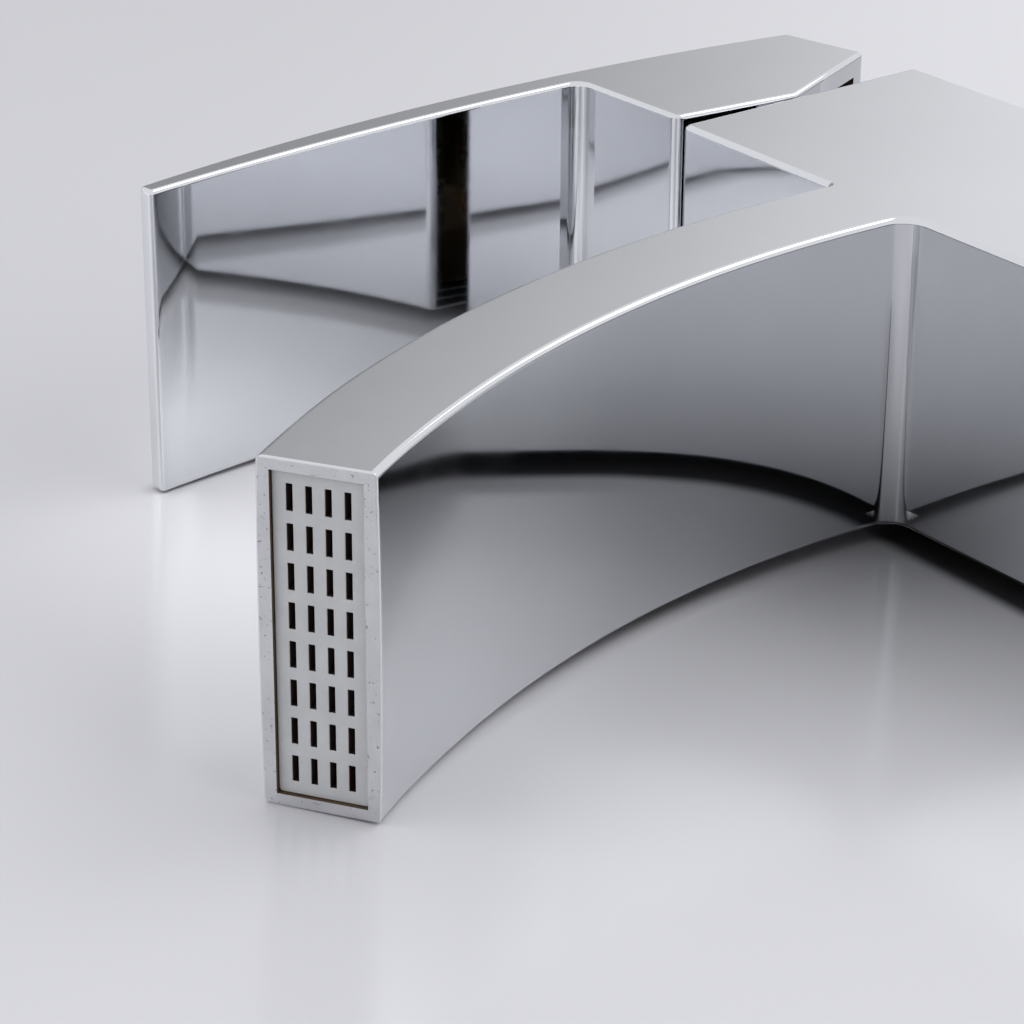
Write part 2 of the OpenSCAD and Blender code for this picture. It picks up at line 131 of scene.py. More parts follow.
def picked(piece: Piece, kind: str, wanted: Callable[[object], bool]) -> int:
    """Select only the faces or the edges that a test accepts.

    Args:
        piece: The object in edit mode.
        kind: The selection mode, EDGE or FACE.
        wanted: The test of one face or edge.

    Returns:
        How many are selected.
    """
    bpy.ops.mesh.select_mode(type=kind)
    bpy.ops.mesh.select_all(action="DESELECT")
    cage = bmesh.from_edit_mesh(piece.data)
    found = [part for part in (cage.faces if kind == "FACE" else cage.edges) if wanted(part)]
    for part in found:
        part.select_set(True)
    bmesh.update_edit_mesh(piece.data)
    return len(found)


def pick_faces(piece: Piece, wanted: Callable[[bmesh.types.BMFace], bool]) -> int:
    """Select the faces that a test accepts, and count them."""
    return picked(piece, "FACE", wanted)


def pick_edges(piece: Piece, wanted: PairTest) -> int:
    """Select the edges whose two ends a test accepts, and count them."""
    return picked(piece, "EDGE", lambda edge: wanted(edge.verts[0].co, edge.verts[1].co))


def named(piece: Piece, name: str) -> Piece:
    """Name a piece and its mesh.

    Args:
        piece: The object.
        name: Its new name.

    Returns:
        The same object.
    """
    piece.name = name
    piece.data.name = name
    return piece


def placed(name: str) -> Piece:
    """Name the new primitive and apply its place to its mesh.

    Args:
        name: The name of the piece.

    Returns:
        The primitive's object.
    """
    piece = bpy.context.object
    bpy.ops.object.transform_apply(location=True, rotation=True, scale=True)
    return named(piece, name)


def box_piece(name: str, low: Vector, high: Vector) -> Piece:
    """Start a piece as a box between two corners.

    Args:
        name: The name of the piece.
        low: Its lowest corner.
        high: Its highest corner.

    Returns:
        The new object.
    """
    clear_bench()
    bpy.ops.mesh.primitive_cube_add(size=1, location=(low + high) / 2)
    bpy.context.object.scale = high - low
    return placed(name)


def round_piece(
    name: str, centre: Vector, radius: float, depth: float, axis: Vector = Z_AXIS, sides: int = 96
) -> Piece:
    """Start a piece as a round bar.

    Args:
        name: The name of the piece.
        centre: The middle of the bar's first end.
        radius: Its radius.
        depth: Its length along the axis.
        axis: Its direction.
        sides: The number of its sides.

    Returns:
        The new object.
    """
    clear_bench()
    turn = Z_AXIS.rotation_difference(axis).to_euler()
    bpy.ops.mesh.primitive_cylinder_add(
        vertices=sides, radius=radius, depth=depth, location=centre + axis * depth / 2, rotation=turn
    )
    return placed(name)


def finish_with(piece: Piece, kind: str, **settings: object) -> None:
    """Add a modifier to a piece and apply it.

    Args:
        piece: The object.
        kind: The modifier's type.
        settings: The modifier's own settings.
    """
    take_up(piece)
    modifier = piece.modifiers.new(kind.title(), kind)
    for key, value in settings.items():
        setattr(modifier, key, value)
    bpy.ops.object.modifier_apply(modifier=modifier.name)


def worked(piece: Piece, tool: Piece, operation: Operation = Operation.CUT) -> None:
    """Use one piece as a tool on another that is kept, and delete the tool."""
    finish_with(piece, "BOOLEAN", operation=operation.value, object=tool, solver="EXACT")
    bpy.data.objects.remove(tool, do_unlink=True)


def softened(piece: Piece, radius: float, segments: int, wanted: PairTest) -> None:
    """Round the edges that a test accepts.

    Args:
        piece: The object.
        radius: The radius of the rounding.
        segments: The number of its steps.
        wanted: The test of an edge's two ends.
    """
    with shaping(piece, "EDGE"):
        if pick_edges(piece, wanted):
            bpy.ops.mesh.bevel(
                offset=radius, segments=segments, profile=0.5, affect="EDGES", clamp_overlap=True
            )


def rounded_by_weight(piece: Piece, radius: float) -> None:
    """Round a piece's edges by their bevel weights.

    Args:
        piece: The object.
        radius: The radius at full weight.
    """
    finish_with(
        piece, "BEVEL", limit_method="WEIGHT", width=radius, segments=5, profile=0.5, use_clamp_overlap=False
    )


def rounded_by_angle(piece: Piece, radius: float, segments: int, angle: float) -> None:
    """Round a piece's sharp edges.

    Args:
        piece: The object.
        radius: The radius of the rounding.
        segments: The number of its steps.
        angle: The angle in degrees above which an edge is sharp.
    """
    finish_with(
        piece, "BEVEL", limit_method="ANGLE", angle_limit=math.radians(angle), width=radius,
        segments=segments, use_clamp_overlap=True,
    )


def along_side(a: Vector, b: Vector, half: float) -> bool:
    """Tell whether an edge runs along the outline of a side face, half a width from the middle."""
    return abs(abs(a.x) - half) < NEAR and abs(a.x - b.x) < NEAR


def polished_normals(piece: Piece, angle: float = 32.0) -> None:
    """Shade a piece smooth, with its large faces true and its fine roundings blended into them.

    Args:
        piece: The object.
        angle: The angle in degrees above which an edge stays sharp.
    """
    take_up(piece)
    bpy.ops.object.shade_smooth_by_angle(angle=math.radians(angle))
    finish_with(piece, "WEIGHTED_NORMAL", mode="FACE_AREA", weight=60, keep_sharp=True)


def closed(piece: Piece) -> None:
    """Merge a piece's doubled points and turn its faces outwards.

    Args:
        piece: The object.
    """
    with shaping(piece, "VERT"):
        select_everything()
        bpy.ops.mesh.remove_doubles(threshold=0.0005 * MM)
        bpy.ops.mesh.normals_make_consistent(inside=False)


class SideLine:
    """An outline drawn point by point in the plane of Y and Z, with straight lines and arcs."""

    def __init__(self, name: str, x: float, y: float, z: float) -> None:
        """Start the outline at one point.

        Args:
            name: The name of the piece that the outline becomes.
            x: The place of the outline's plane.
            y: The first point's place along Y.
            z: The first point's place along Z.
        """
        clear_bench()
        bpy.ops.mesh.primitive_plane_add(size=MM, location=(x, y, z))
        self.piece = placed(name)
        self.x = x
        self.at = Vector((x, y, z))
        bpy.ops.object.mode_set(mode="EDIT")
        bpy.ops.mesh.select_mode(type="VERT")
        select_everything()
        bpy.ops.mesh.merge(type="CENTER")

    def line(self, y: float, z: float) -> "SideLine":
        """Draw a straight line to a point.

        Args:
            y: The point's place along Y.
            z: The point's place along Z.

        Returns:
            The same outline.
        """
        step = Vector((self.x, y, z)) - self.at
        bpy.ops.mesh.extrude_vertices_move(TRANSFORM_OT_translate={"value": step})
        self.at = Vector((self.x, y, z))
        return self

    def arc(self, centre: Vector, y: float, z: float, steps: int) -> "SideLine":
        """Draw an arc about a centre, the short way round, to a point.

        Args:
            centre: The arc's centre, as its places along Y and Z.
            y: The end's place along Y.
            z: The end's place along Z.
            steps: The number of straight steps in the arc.

        Returns:
            The same outline.
        """
        first = Vector((self.at.y, self.at.z)) - centre
        last = Vector((y, z)) - centre
        turn = math.atan2(first.x * last.y - first.y * last.x, first.dot(last))
        bpy.ops.mesh.spin(
            steps=steps, angle=-turn, center=(self.x, centre.x, centre.y), axis=X_AXIS,
            dupli=False, use_auto_merge=False,
        )
        self.at = Vector((self.x, y, z))
        cage = bmesh.from_edit_mesh(self.piece.data)
        for point in cage.verts:
            if point.select:
                point.co = self.at
        bmesh.update_edit_mesh(self.piece.data)
        return self

    def across(self, width: float) -> Piece:
        """Close the outline, fill it and draw it out along X.

        Args:
            width: The distance along X.

        Returns:
            The solid piece.
        """
        select_everything()
        bpy.ops.mesh.remove_doubles(threshold=0.002 * MM)
        bpy.ops.mesh.edge_face_add()
        draw_out(X_AXIS * width)
        select_everything()
        bpy.ops.mesh.normals_make_consistent(inside=False)
        bpy.ops.object.mode_set(mode="OBJECT")
        return self.piece


def corner_centre(
    line_at: Vector, line_to: Vector, arc_centre: Vector, reach: float, radius: float
) -> Vector:
    """Find the centre of a round inner corner between a straight face and an arc.

    Args:
        line_at: A point of the straight face, as its places along Y and Z.
        line_to: Another point of it, lower down.
        arc_centre: The arc's centre.
        reach: The distance of the corner's centre from the arc's centre.
        radius: The radius of the corner.

    Returns:
        The corner's centre, in front of the face.
    """
    along = (line_to - line_at).normalized()
    off = Vector((along.y, -along.x))
    if off.x > 0:
        off = -off
    start = line_at + off * radius - arc_centre
    half = start.dot(along)
    root = math.sqrt(half * half - start.length_squared + reach * reach)
    spots = [start + along * t + arc_centre for t in (-half - root, -half + root)]
    return max(spots, key=lambda spot: spot.y)


# Finishes

class NodeBoard:
    """The node tree of one material or of the world."""

    def __init__(self, owner: bpy.types.Material | bpy.types.World) -> None:
        """Clear the owner's node tree.

        Args:
            owner: The material or world.
        """
        owner.use_nodes = True
        self.tree = owner.node_tree
        self.tree.nodes.clear()

    def add(self, kind: str, settings: dict[str, object] | None = None, **inputs: object) -> bpy.types.Node:
        """Add a node, with its settings and with values or links on its inputs.

        Args:
            kind: The node's type without the words ShaderNode.
            settings: Its properties.
            inputs: A value or an output socket for each input, with _ for a space in its name.

        Returns:
            The node.
        """
        node = self.tree.nodes.new("ShaderNode" + kind)
        for key, value in (settings or {}).items():
            setattr(node, key, value)
        for key, value in inputs.items():
            socket = node.inputs[int(key[1:])] if key[1:].isdigit() else node.inputs[key.replace("_", " ")]
            if isinstance(value, Socket):
                self.tree.links.new(value, socket)
            else:
                socket.default_value = value
        return node

    def sum(self, operation: str, first: object, second: object = 0.0, clamp: bool = False) -> Socket:
        """Add a Math node for two numbers or sockets, and give its result's socket."""
        settings = {"operation": operation, "use_clamp": clamp}
        return self.add("Math", settings, _0=first, _1=second).outputs[0]

    def noise(self, place: Socket, scale: float, detail: float = 2.0, rough: float = 0.5) -> Socket:
        """Add a noise pattern, its scale in waves for each metre, and give the socket of its value."""
        return self.add("TexNoise", Vector=place, Scale=scale, Detail=detail, Roughness=rough).outputs["Fac"]

    def spread(
        self, value: Socket, low: float, high: float, to_low: float, to_high: float, smooth: bool = False
    ) -> Socket:
        """Map a range of values to another range, held at its ends.

        Args:
            value: The socket of the value.
            low: The value that becomes to_low.
            high: The value that becomes to_high.
            to_low: The first result.
            to_high: The last result.
            smooth: Whether the change eases in and out.

        Returns:
            The result's socket.
        """
        settings = {"interpolation_type": "SMOOTHSTEP" if smooth else "LINEAR", "clamp": True}
        keys = {"_1": low, "_2": high, "_3": to_low, "_4": to_high}
        return self.add("MapRange", settings, _0=value, **keys).outputs[0]

    def mixed(self, share: object, first: object, second: object) -> Socket:
        """Mix two colours.

        Args:
            share: The share of the second colour, as a number or socket.
            first: The first colour or its socket.
            second: The second colour or its socket.

        Returns:
            The colour's socket.
        """
        node = self.tree.nodes.new("ShaderNodeMix")
        node.data_type = "RGBA"
        for socket, value in zip((node.inputs[0], node.inputs[6], node.inputs[7]), (share, first, second)):
            if isinstance(value, Socket):
                self.tree.links.new(value, socket)
            else:
                socket.default_value = value
        return node.outputs[2]

    def output(self, shader: Socket, kind: str = "OutputMaterial") -> None:
        """Connect a shader to the surface output."""
        self.add(kind, Surface=shader)


def tone(red: float, green: float, blue: float) -> tuple[float, float, float, float]:
    """Give a colour as four numbers, opaque."""
    return (red, green, blue, 1.0)


@dataclass(frozen=True)
class Finish(ABC):
    """A finish of the faucet's pieces, which makes its own material."""

    name: str
    colour: tuple[float, float, float]

    def material(self) -> bpy.types.Material:
        """Return the finish's material, which is made once.

        Returns:
            The material.
        """
        made = bpy.data.materials.get(self.name)
        if made is None:
            made = bpy.data.materials.new(self.name)
            self.lay(NodeBoard(made))
        return made

    def clouded(self, board: NodeBoard, cloud: Socket, high: float, dark: float) -> Socket:
        """Lay out the colour, plain from a pattern's high value on and darker in its low patches."""
        share = board.spread(cloud, 0.3, high, 0.0, 1.0)
        return board.mixed(share, tone(*(c * dark for c in self.colour)), tone(*self.colour))

    @abstractmethod
    def lay(self, board: NodeBoard) -> None:
        """Lay out the finish's nodes on an empty board."""


@dataclass(frozen=True)
class Chrome(Finish):
    """Bright chrome plate over polished brass, with the slow waves that buffing leaves."""

    colour: tuple[float, float, float] = (0.765, 0.775, 0.795)
    roughness: float = 0.035
    haze: float = 0.03
    wave: float = 0.02
    wave_scale: float = 45.0
    streak: float = 0.16
    streak_scale: float = 420.0
    streak_ends: tuple[float, float] = (-0.088, -0.124)
    lean: float = 0.0
    bow: float = 0.0
    bow_start: float = -0.050
    roll: float = 0.0
    roll_start: float = -0.091

    def lay(self, board: NodeBoard) -> None:
        """Lay out the plate's colour, its haze, its waves and the belt's streaks near the outlet.

        Args:
            board: The finish's nodes.
        """
        place = board.add("TexCoord").outputs["Object"]
        cloud = board.noise(place, 60.0, detail=3.0)
        colour = self.clouded(board, cloud, high=0.7, dark=0.97)
        haze = board.noise(place, 140.0, detail=4.0, rough=0.6)
        rough = board.spread(haze, 0.45, 0.8, self.roughness, self.roughness + self.haze)
        waves = board.noise(place, self.wave_scale, detail=1.0)
        bump = board.add("Bump", Strength=self.wave, Distance=MM, Height=waves).outputs[0]
        along = board.add("SeparateXYZ", _0=place).outputs["Y"]
        brushed = board.spread(along, self.streak_ends[1], self.streak_ends[0], 1.0, 0.0, smooth=True)
        drawn = board.add("Mapping", Vector=place, Scale=(0.06, 1.0, 1.0)).outputs[0]
        streaks = board.noise(drawn, self.streak_scale, detail=3.0, rough=0.7)
        strength = board.sum("MULTIPLY", brushed, self.streak)
        bump = board.add(
            "Bump", Strength=strength, Distance=0.02 * MM, Height=streaks, Normal=bump
        ).outputs[0]
        rough = board.sum("ADD", rough, board.sum("MULTIPLY", brushed, 0.05))
        if self.lean:
            bump = self.leaning(board, along, bump)
        shader = board.add("BsdfPrincipled", Base_Color=colour, Metallic=1.0, Roughness=rough, Normal=bump)
        board.output(shader.outputs[0])

    def leaning(self, board: NodeBoard, along: Socket, bump: Socket) -> Socket:
        """Lay out the slow lean that buffing gives a long thin face, and its roll over the face's end.

        Args:
            board: The finish's nodes.
            along: The socket of the place along Y.
            bump: The socket of the normal so far.

        Returns:
            The socket of the leaning normal.
        """
        height = board.sum("MULTIPLY", along, -self.lean)
        for start, amount in ((self.bow_start, self.bow / 2), (self.roll_start, -self.roll)):
            past = board.sum("MAXIMUM", board.sum("SUBTRACT", start, along), 0.0)
            curved = board.sum("MULTIPLY", board.sum("MULTIPLY", past, past), amount)
            height = board.sum("ADD", height, curved)
        return board.add("Bump", Strength=1.0, Distance=1.0, Height=height, Normal=bump).outputs[0]


@dataclass(frozen=True)
class Metal(Finish):
    """Machined or cast metal with fine tool marks."""

    roughness: float = 0.3
    grain: float = 900.0
    relief: float = 0.15
    pits: float = 0.0

    def lay(self, board: NodeBoard) -> None:
        """Lay out the metal's colour, its grain, its dull patches and its pits, with shade painted into the
        pits.

        Args:
            board: The finish's nodes.
        """
        place = board.add("TexCoord").outputs["Object"]
        cloud = board.noise(place, 180.0, detail=4.0, rough=0.6)
        colour = self.clouded(board, cloud, high=0.75, dark=0.82)
        fine = board.noise(place, self.grain, detail=3.0, rough=0.6)
        rough = board.spread(cloud, 0.3, 0.7, self.roughness * 0.8, self.roughness * 1.3)
        bump = board.add("Bump", Strength=self.relief, Distance=0.05 * MM, Height=fine).outputs[0]
        spots = board.noise(place, self.grain * 1.3, detail=2.0, rough=0.6)
        pit = board.spread(spots, 0.64, 0.72, 0.0, self.pits)
        hole = board.sum("SUBTRACT", 1.0, pit)
        bump = board.add("Bump", Strength=self.pits, Distance=0.2 * MM, Height=hole, Normal=bump).outputs[0]
        # The pits' colour is darkened: painted shade in the pits
        colour = board.mixed(pit, colour, tone(*(c * 0.25 for c in self.colour)))
        shader = board.add("BsdfPrincipled", Base_Color=colour, Metallic=1.0, Roughness=rough, Normal=bump)
        board.output(shader.outputs[0])


@dataclass(frozen=True)
class Moulded(Finish):
    """Moulded plastic, rubber or ceramic."""

    roughness: float = 0.45
    grain: float = 1500.0
    relief: float = 0.1

    def lay(self, board: NodeBoard) -> None:
        """Lay out the moulding's colour, its mottle and its fine skin.

        Args:
            board: The finish's nodes.
        """
        place = board.add("TexCoord").outputs["Object"]
        cloud = board.noise(place, 250.0, detail=4.0, rough=0.6)
        colour = self.clouded(board, cloud, high=0.75, dark=0.88)
        fine = board.noise(place, self.grain, detail=3.0, rough=0.6)
        rough = board.spread(cloud, 0.3, 0.7, self.roughness * 0.85, min(1.0, self.roughness * 1.2))
        bump = board.add("Bump", Strength=self.relief, Distance=0.05 * MM, Height=fine).outputs[0]
        shader = board.add("BsdfPrincipled", Base_Color=colour, Roughness=rough, Normal=bump)
        board.output(shader.outputs[0])


PLATE = Chrome("chrome_plate")
LEVER_PLATE = Chrome("buffed_lever_plate", lean=0.077, bow=0.8, roll=9.0)
GROUND_RIM = Metal("ground_rim", (0.74, 0.74, 0.76), 0.42, grain=1600.0, relief=0.5, pits=0.8)
RAW_CASTING = Metal("raw_casting", (0.21, 0.15, 0.09), 0.6, grain=700.0, relief=0.5)
TURNED_BRASS = Metal("turned_brass", (0.78, 0.62, 0.33), 0.25)
ZINC_STEEL = Metal("zinc_plated_steel", (0.62, 0.64, 0.66), 0.28)
GREY_PLASTIC = Moulded("grey_outlet_plastic", (0.76, 0.77, 0.78), 0.38)
# Painted shade: the grille's deep slot walls are coloured near black
PAINTED_SLOT_SHADE = Moulded("painted_slot_shade", (0.05, 0.028, 0.018), 0.7)
WHITE_PLASTIC = Moulded("white_cartridge_plastic", (0.82, 0.82, 0.79), 0.42)
RED_PLASTIC = Moulded("red_rotor_plastic", (0.55, 0.09, 0.06), 0.4)
CERAMIC = Moulded("lapped_ceramic", (0.88, 0.87, 0.84), 0.12, grain=2000.0, relief=0.03)
RUBBER = Moulded("black_rubber", (0.022, 0.022, 0.024), 0.62, grain=1200.0, relief=0.25)


def dressed(piece: Piece, *finishes: Finish) -> None:
    """Put finishes on a piece's material slots.

    Args:
        piece: The object.
        finishes: One finish for each slot, in order.
    """
    piece.data.materials.clear()
    for finish in finishes:
        piece.data.materials.append(finish.material())


def painted(piece: Piece, slot: int, wanted: PairTest) -> None:
    """Give a piece's faces one of its finishes, where a test accepts their place and normal.

    Args:
        piece: The object.
        slot: The number of the finish's slot.
        wanted: The test of a face's middle and normal.
    """
    for face in piece.data.polygons:
        if wanted(face.center, face.normal):
            face.material_index = slot


def joined_to(piece: Piece, body: Body, slot: Slot, *nodes: str) -> None:
    """Make a finished piece ride on its body and stand for its CAD nodes, and report it.

    Args:
        piece: The object.
        body: The body that it rides on.
        slot: The record's slot; it is not used.
        nodes: The CAD nodes that it replaces.
    """
    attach(piece, body.value)
    if nodes:
        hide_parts(*nodes)
    log.info("%s: %d faces, rides on %s", piece.name, len(piece.data.polygons), body.value)


# The faucet

@dataclass
class BodyCasting:
    """The square column and the flat curved spout, one plated casting. Sizes are in metres."""

    spout_r: float = 184 * MM
    spout_t: float = 15.4 * MM
    spout_drop: float = 31 * MM
    spout_crest: float = 13.6 * MM
    outlet_reach: float = 131.4 * MM
    under_corner_r: float = 3.5 * MM
    top_corner_r: float = 0.8 * MM
    rim_end: float = 1.6 * MM
    rim_long: float = 1.9 * MM
    pocket_depth: float = 6.1 * MM
    throat_depth: float = 20 * MM
    throat_wall: float = 3 * MM
    edge_r: float = 0.85 * MM
    outlet_edge_r: float = 0.3 * MM
    crown: float = 0.25 * MM
    crown_fade: float = 25 * MM
    bore_r: float = 17.6 * MM
    seat_depth: float = 30 * MM
    nut_bore_r: float = 19 * MM
    nut_bore_depth: float = 10.8 * MM
    inlet_r: float = 4.5 * MM
    inlet_l: float = 12 * MM
    inlet_spacing: float = 15 * MM
    inlet_front: float = 3 * MM
    waterway_r: float = 2.6 * MM
    stud_r: float = 4.1 * MM
    stud_depth: float = 12 * MM
    stud_inset: float = 10.5 * MM
    groove_gap: float = 0.1 * MM
    groove_band: float = 2.5 * MM
    groove_corner_r: float = 5 * MM
    mouth_edge_r: float = 0.3 * MM
    arc_steps: int = 110

    def __post_init__(self) -> None:
        """Take the overall sizes from the frame and work out the spout's arcs."""
        self.low, self.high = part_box("body_casting")
        self.width = self.high.x - self.low.x
        self.back_y = self.high.y
        self.front_y = self.back_y - self.width
        self.top_z = self.high.z
        self.centre = Vector((self.front_y - self.spout_crest, self.top_z - self.spout_drop - self.spout_r))
        self.under_r = self.spout_r - self.spout_t
        middle_r = self.spout_r - self.spout_t / 2
        self.outlet_angle = math.asin((self.outlet_reach + self.centre.x) / middle_r)
        self.outward = Vector((0, -math.cos(self.outlet_angle), -math.sin(self.outlet_angle)))
        self.upward = Vector((0, -math.sin(self.outlet_angle), math.cos(self.outlet_angle)))
        self.outlet = Vector((0, self.centre.x, self.centre.y)) + self.upward * middle_r

    def arc_point(self, radius: float, angle: float) -> Vector:
        """Give the point of a spout's arc, in Y and Z, at an angle in front of its highest point."""
        return self.centre + Vector((-math.sin(angle), math.cos(angle))) * radius

    def build(self) -> Piece:
        """Model the casting.

        Returns:
            The finished object.
        """
        casting = self.drawn_out()
        self.open_outlet(casting)
        self.crown_spout(casting)
        self.round_edges(casting)
        self.bore(casting)
        closed(casting)
        polished_normals(casting)
        return casting

    def drawn_out(self) -> Piece:
        """Draw the side outline and draw it out to the faucet's width.

        Returns:
            The plain solid.
        """
        front_top = Vector((self.front_y, self.top_z))
        front_foot = Vector((self.front_y, self.low.z))
        over = corner_centre(
            front_top, front_foot, self.centre, self.spout_r + self.top_corner_r, self.top_corner_r
        )
        under = corner_centre(
            front_top, front_foot, self.centre, self.under_r - self.under_corner_r, self.under_corner_r
        )
        over_arc = self.centre + (over - self.centre).normalized() * self.spout_r
        under_arc = self.centre + (under - self.centre).normalized() * self.under_r
        outlet_top = self.arc_point(self.spout_r, self.outlet_angle)
        outlet_foot = self.arc_point(self.under_r, self.outlet_angle)
        line = SideLine("faucet_body_casting", self.low.x, self.back_y, self.low.z)
        line.line(self.back_y, self.top_z).line(self.front_y, self.top_z).line(self.front_y, over.y)
        line.arc(over, over_arc.x, over_arc.y, steps=8)
        line.arc(self.centre, outlet_top.x, outlet_top.y, steps=self.arc_steps)
        line.line(outlet_foot.x, outlet_foot.y)
        line.arc(self.centre, under_arc.x, under_arc.y, steps=self.arc_steps)
        line.arc(under, self.front_y, under.y, steps=16)
        line.line(self.front_y, self.low.z).line(self.back_y, self.low.z)
        return line.across(self.width)

    def depth_at_outlet(self, point: Vector) -> float:
        """Give a point's depth behind the outlet's face."""
        return (self.outlet - point).dot(self.outward)

    def open_outlet(self, casting: Piece) -> None:
        """Sink the pocket for the grille, and the throat behind it, into the spout's end.

        Args:
            casting: The casting.
        """
        pocket_h = self.spout_t - 2 * self.rim_long
        squeeze = pocket_h / (self.spout_t - 2 * self.rim_end)
        to_outlet = Matrix((X_AXIS, -self.outward, self.upward)).transposed().to_4x4()
        with shaping(casting):
            pick_faces(casting, lambda face: self.in_outlet(face.calc_center_median(), face.normal))
            bpy.ops.mesh.inset(thickness=self.rim_end)
            bpy.ops.transform.resize(
                value=(1, 1, squeeze), orient_type="GLOBAL", orient_matrix=to_outlet.to_3x3(),
                orient_matrix_type="GLOBAL", center_override=self.outlet,
            )
            draw_out(-self.outward * self.pocket_depth)
            bpy.ops.mesh.inset(thickness=self.throat_wall - self.rim_end)
            draw_out(-self.outward * self.throat_depth)

    def in_outlet(self, at: Vector, normal: Vector) -> bool:
        """Tell whether a face lies in the outlet's own plane."""
        return normal.dot(self.outward) > 0.999 and abs(self.depth_at_outlet(at)) < 0.1 * MM

    def crown_spout(self, casting: Piece) -> None:
        """Draw the spout's broad faces in a little toward its sides near the outlet, as polishing does.

        Args:
            casting: The casting.
        """
        cuts = 10
        with shaping(casting):
            for cut in range(1, cuts):
                place = Vector((self.low.x + self.width * cut / cuts, 0, 0))
                select_everything()
                bpy.ops.mesh.bisect(plane_co=place, plane_no=X_AXIS)
            cage = bmesh.from_edit_mesh(casting.data)
            half = self.width / 2
            for point in cage.verts:
                arm = Vector((point.co.y, point.co.z)) - self.centre
                angle = math.atan2(-arm.x, arm.y)
                behind = (self.outlet_angle - angle) * self.spout_r
                if point.co.y > self.front_y or behind > self.crown_fade or arm.length < self.under_r - MM:
                    continue
                side = min(arm.length - self.under_r, self.spout_r - arm.length)
                if side > 0.1 * MM:
                    continue
                fade = 0.5 + 0.5 * math.cos(math.pi * max(0.0, behind) / self.crown_fade)
                draw = self.crown * (point.co.x / half) ** 2 * fade
                sign = 1 if arm.length < self.under_r + self.spout_t / 2 else -1
                shift = arm.normalized() * draw * sign
                point.co += Vector((0, shift.x, shift.y))
            bmesh.update_edit_mesh(casting.data)

    def round_edges(self, casting: Piece) -> None:
        """Round the casting's outer edges, and the outlet's own edges more finely.

        Args:
            casting: The casting.
        """
        def at_outlet(a: Vector, b: Vector) -> bool:
            """Tell whether an edge lies in the outlet's face."""
            return abs(self.depth_at_outlet(a)) < NEAR and abs(self.depth_at_outlet(b)) < NEAR

        def long_edge(a: Vector, b: Vector) -> bool:
            """Tell whether an edge is one of the casting's long outer edges."""
            on_top = abs(a.z - b.z) < NEAR and abs(a.y - b.y) < NEAR and abs(a.z - self.top_z) < NEAR
            return not at_outlet(a, b) and (along_side(a, b, self.width / 2) or on_top)

        def outlet_edge(a: Vector, b: Vector) -> bool:
            """Tell whether an edge is on the outlet's outer outline."""
            return at_outlet(a, b) and not long_edge(a, b) and self.outer(a) and self.outer(b)

        with shaping(casting, "EDGE"):
            pick_edges(casting, long_edge)
            bpy.ops.transform.edge_bevelweight(value=1.0)
            pick_edges(casting, outlet_edge)
            bpy.ops.transform.edge_bevelweight(value=self.outlet_edge_r / self.edge_r)
        rounded_by_weight(casting, self.edge_r)

    def outer(self, point: Vector) -> bool:
        """Tell whether a point of the outlet's face lies on its outer outline."""
        across = abs((point - self.outlet).dot(self.upward))
        return across > self.spout_t / 2 - self.crown - 0.1 * MM or abs(point.x) > self.width / 2 - 0.1 * MM

    def bore(self, casting: Piece) -> None:
        """Bore the cartridge's seat, the inlets, the stud's hole and the gasket's groove.

        Args:
            casting: The casting.
        """
        over = MM
        seat = Vector((0, 0, self.top_z - self.seat_depth))
        worked(casting, round_piece("seat_tool", seat, self.bore_r, self.seat_depth + over))
        nut = Vector((0, 0, self.top_z - self.nut_bore_depth))
        worked(casting, round_piece("nut_tool", nut, self.nut_bore_r, self.nut_bore_depth + over))
        for side in (-1, 1):
            foot = Vector((side * self.inlet_spacing / 2, -self.inlet_front, self.low.z - over))
            worked(casting, round_piece("inlet_tool", foot, self.inlet_r, self.inlet_l + over, sides=48))
            worked(casting, round_piece("waterway_tool", foot, self.waterway_r, 2 * self.inlet_l, sides=32))
        stud = Vector((0, self.back_y - self.stud_inset, self.low.z - over))
        worked(casting, round_piece("stud_tool", stud, self.stud_r, self.stud_depth + over, sides=48))
        worked(casting, self.groove_tool())
        softened(casting, self.mouth_edge_r, 2, self.bore_mouth)

    def bore_mouth(self, a: Vector, b: Vector) -> bool:
        """Tell whether an edge is the mouth of the cartridge's bore."""
        round_it = all(abs(math.hypot(p.x, p.y) - self.nut_bore_r) < NEAR for p in (a, b))
        return round_it and all(abs(p.z - self.top_z) < NEAR for p in (a, b))

    def groove_tool(self) -> Piece:
        """Make the tool that sinks the base gasket's groove.

        Returns:
            The tool, a band with round corners.
        """
        low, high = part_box("base_gasket")
        gap = self.groove_gap
        clear_bench()
        bpy.ops.mesh.primitive_plane_add(size=1, location=(0, 0, low.z - MM))
        bpy.context.object.scale = (high.x - low.x + 2 * gap, high.y - low.y + 2 * gap, 1)
        tool = placed("groove_tool")
        with shaping(tool):
            select_everything()
            bpy.ops.mesh.bevel(offset=self.groove_corner_r, segments=8, affect="VERTICES")
            bpy.ops.mesh.select_mode(type="FACE")
            select_everything()
            bpy.ops.mesh.inset(thickness=self.groove_band + 2 * gap)
            bpy.ops.mesh.delete(type="FACE")
            select_everything()
            draw_out((0, 0, high.z - low.z + MM))
            select_everything()
            bpy.ops.mesh.normals_make_consistent(inside=False)
        return tool

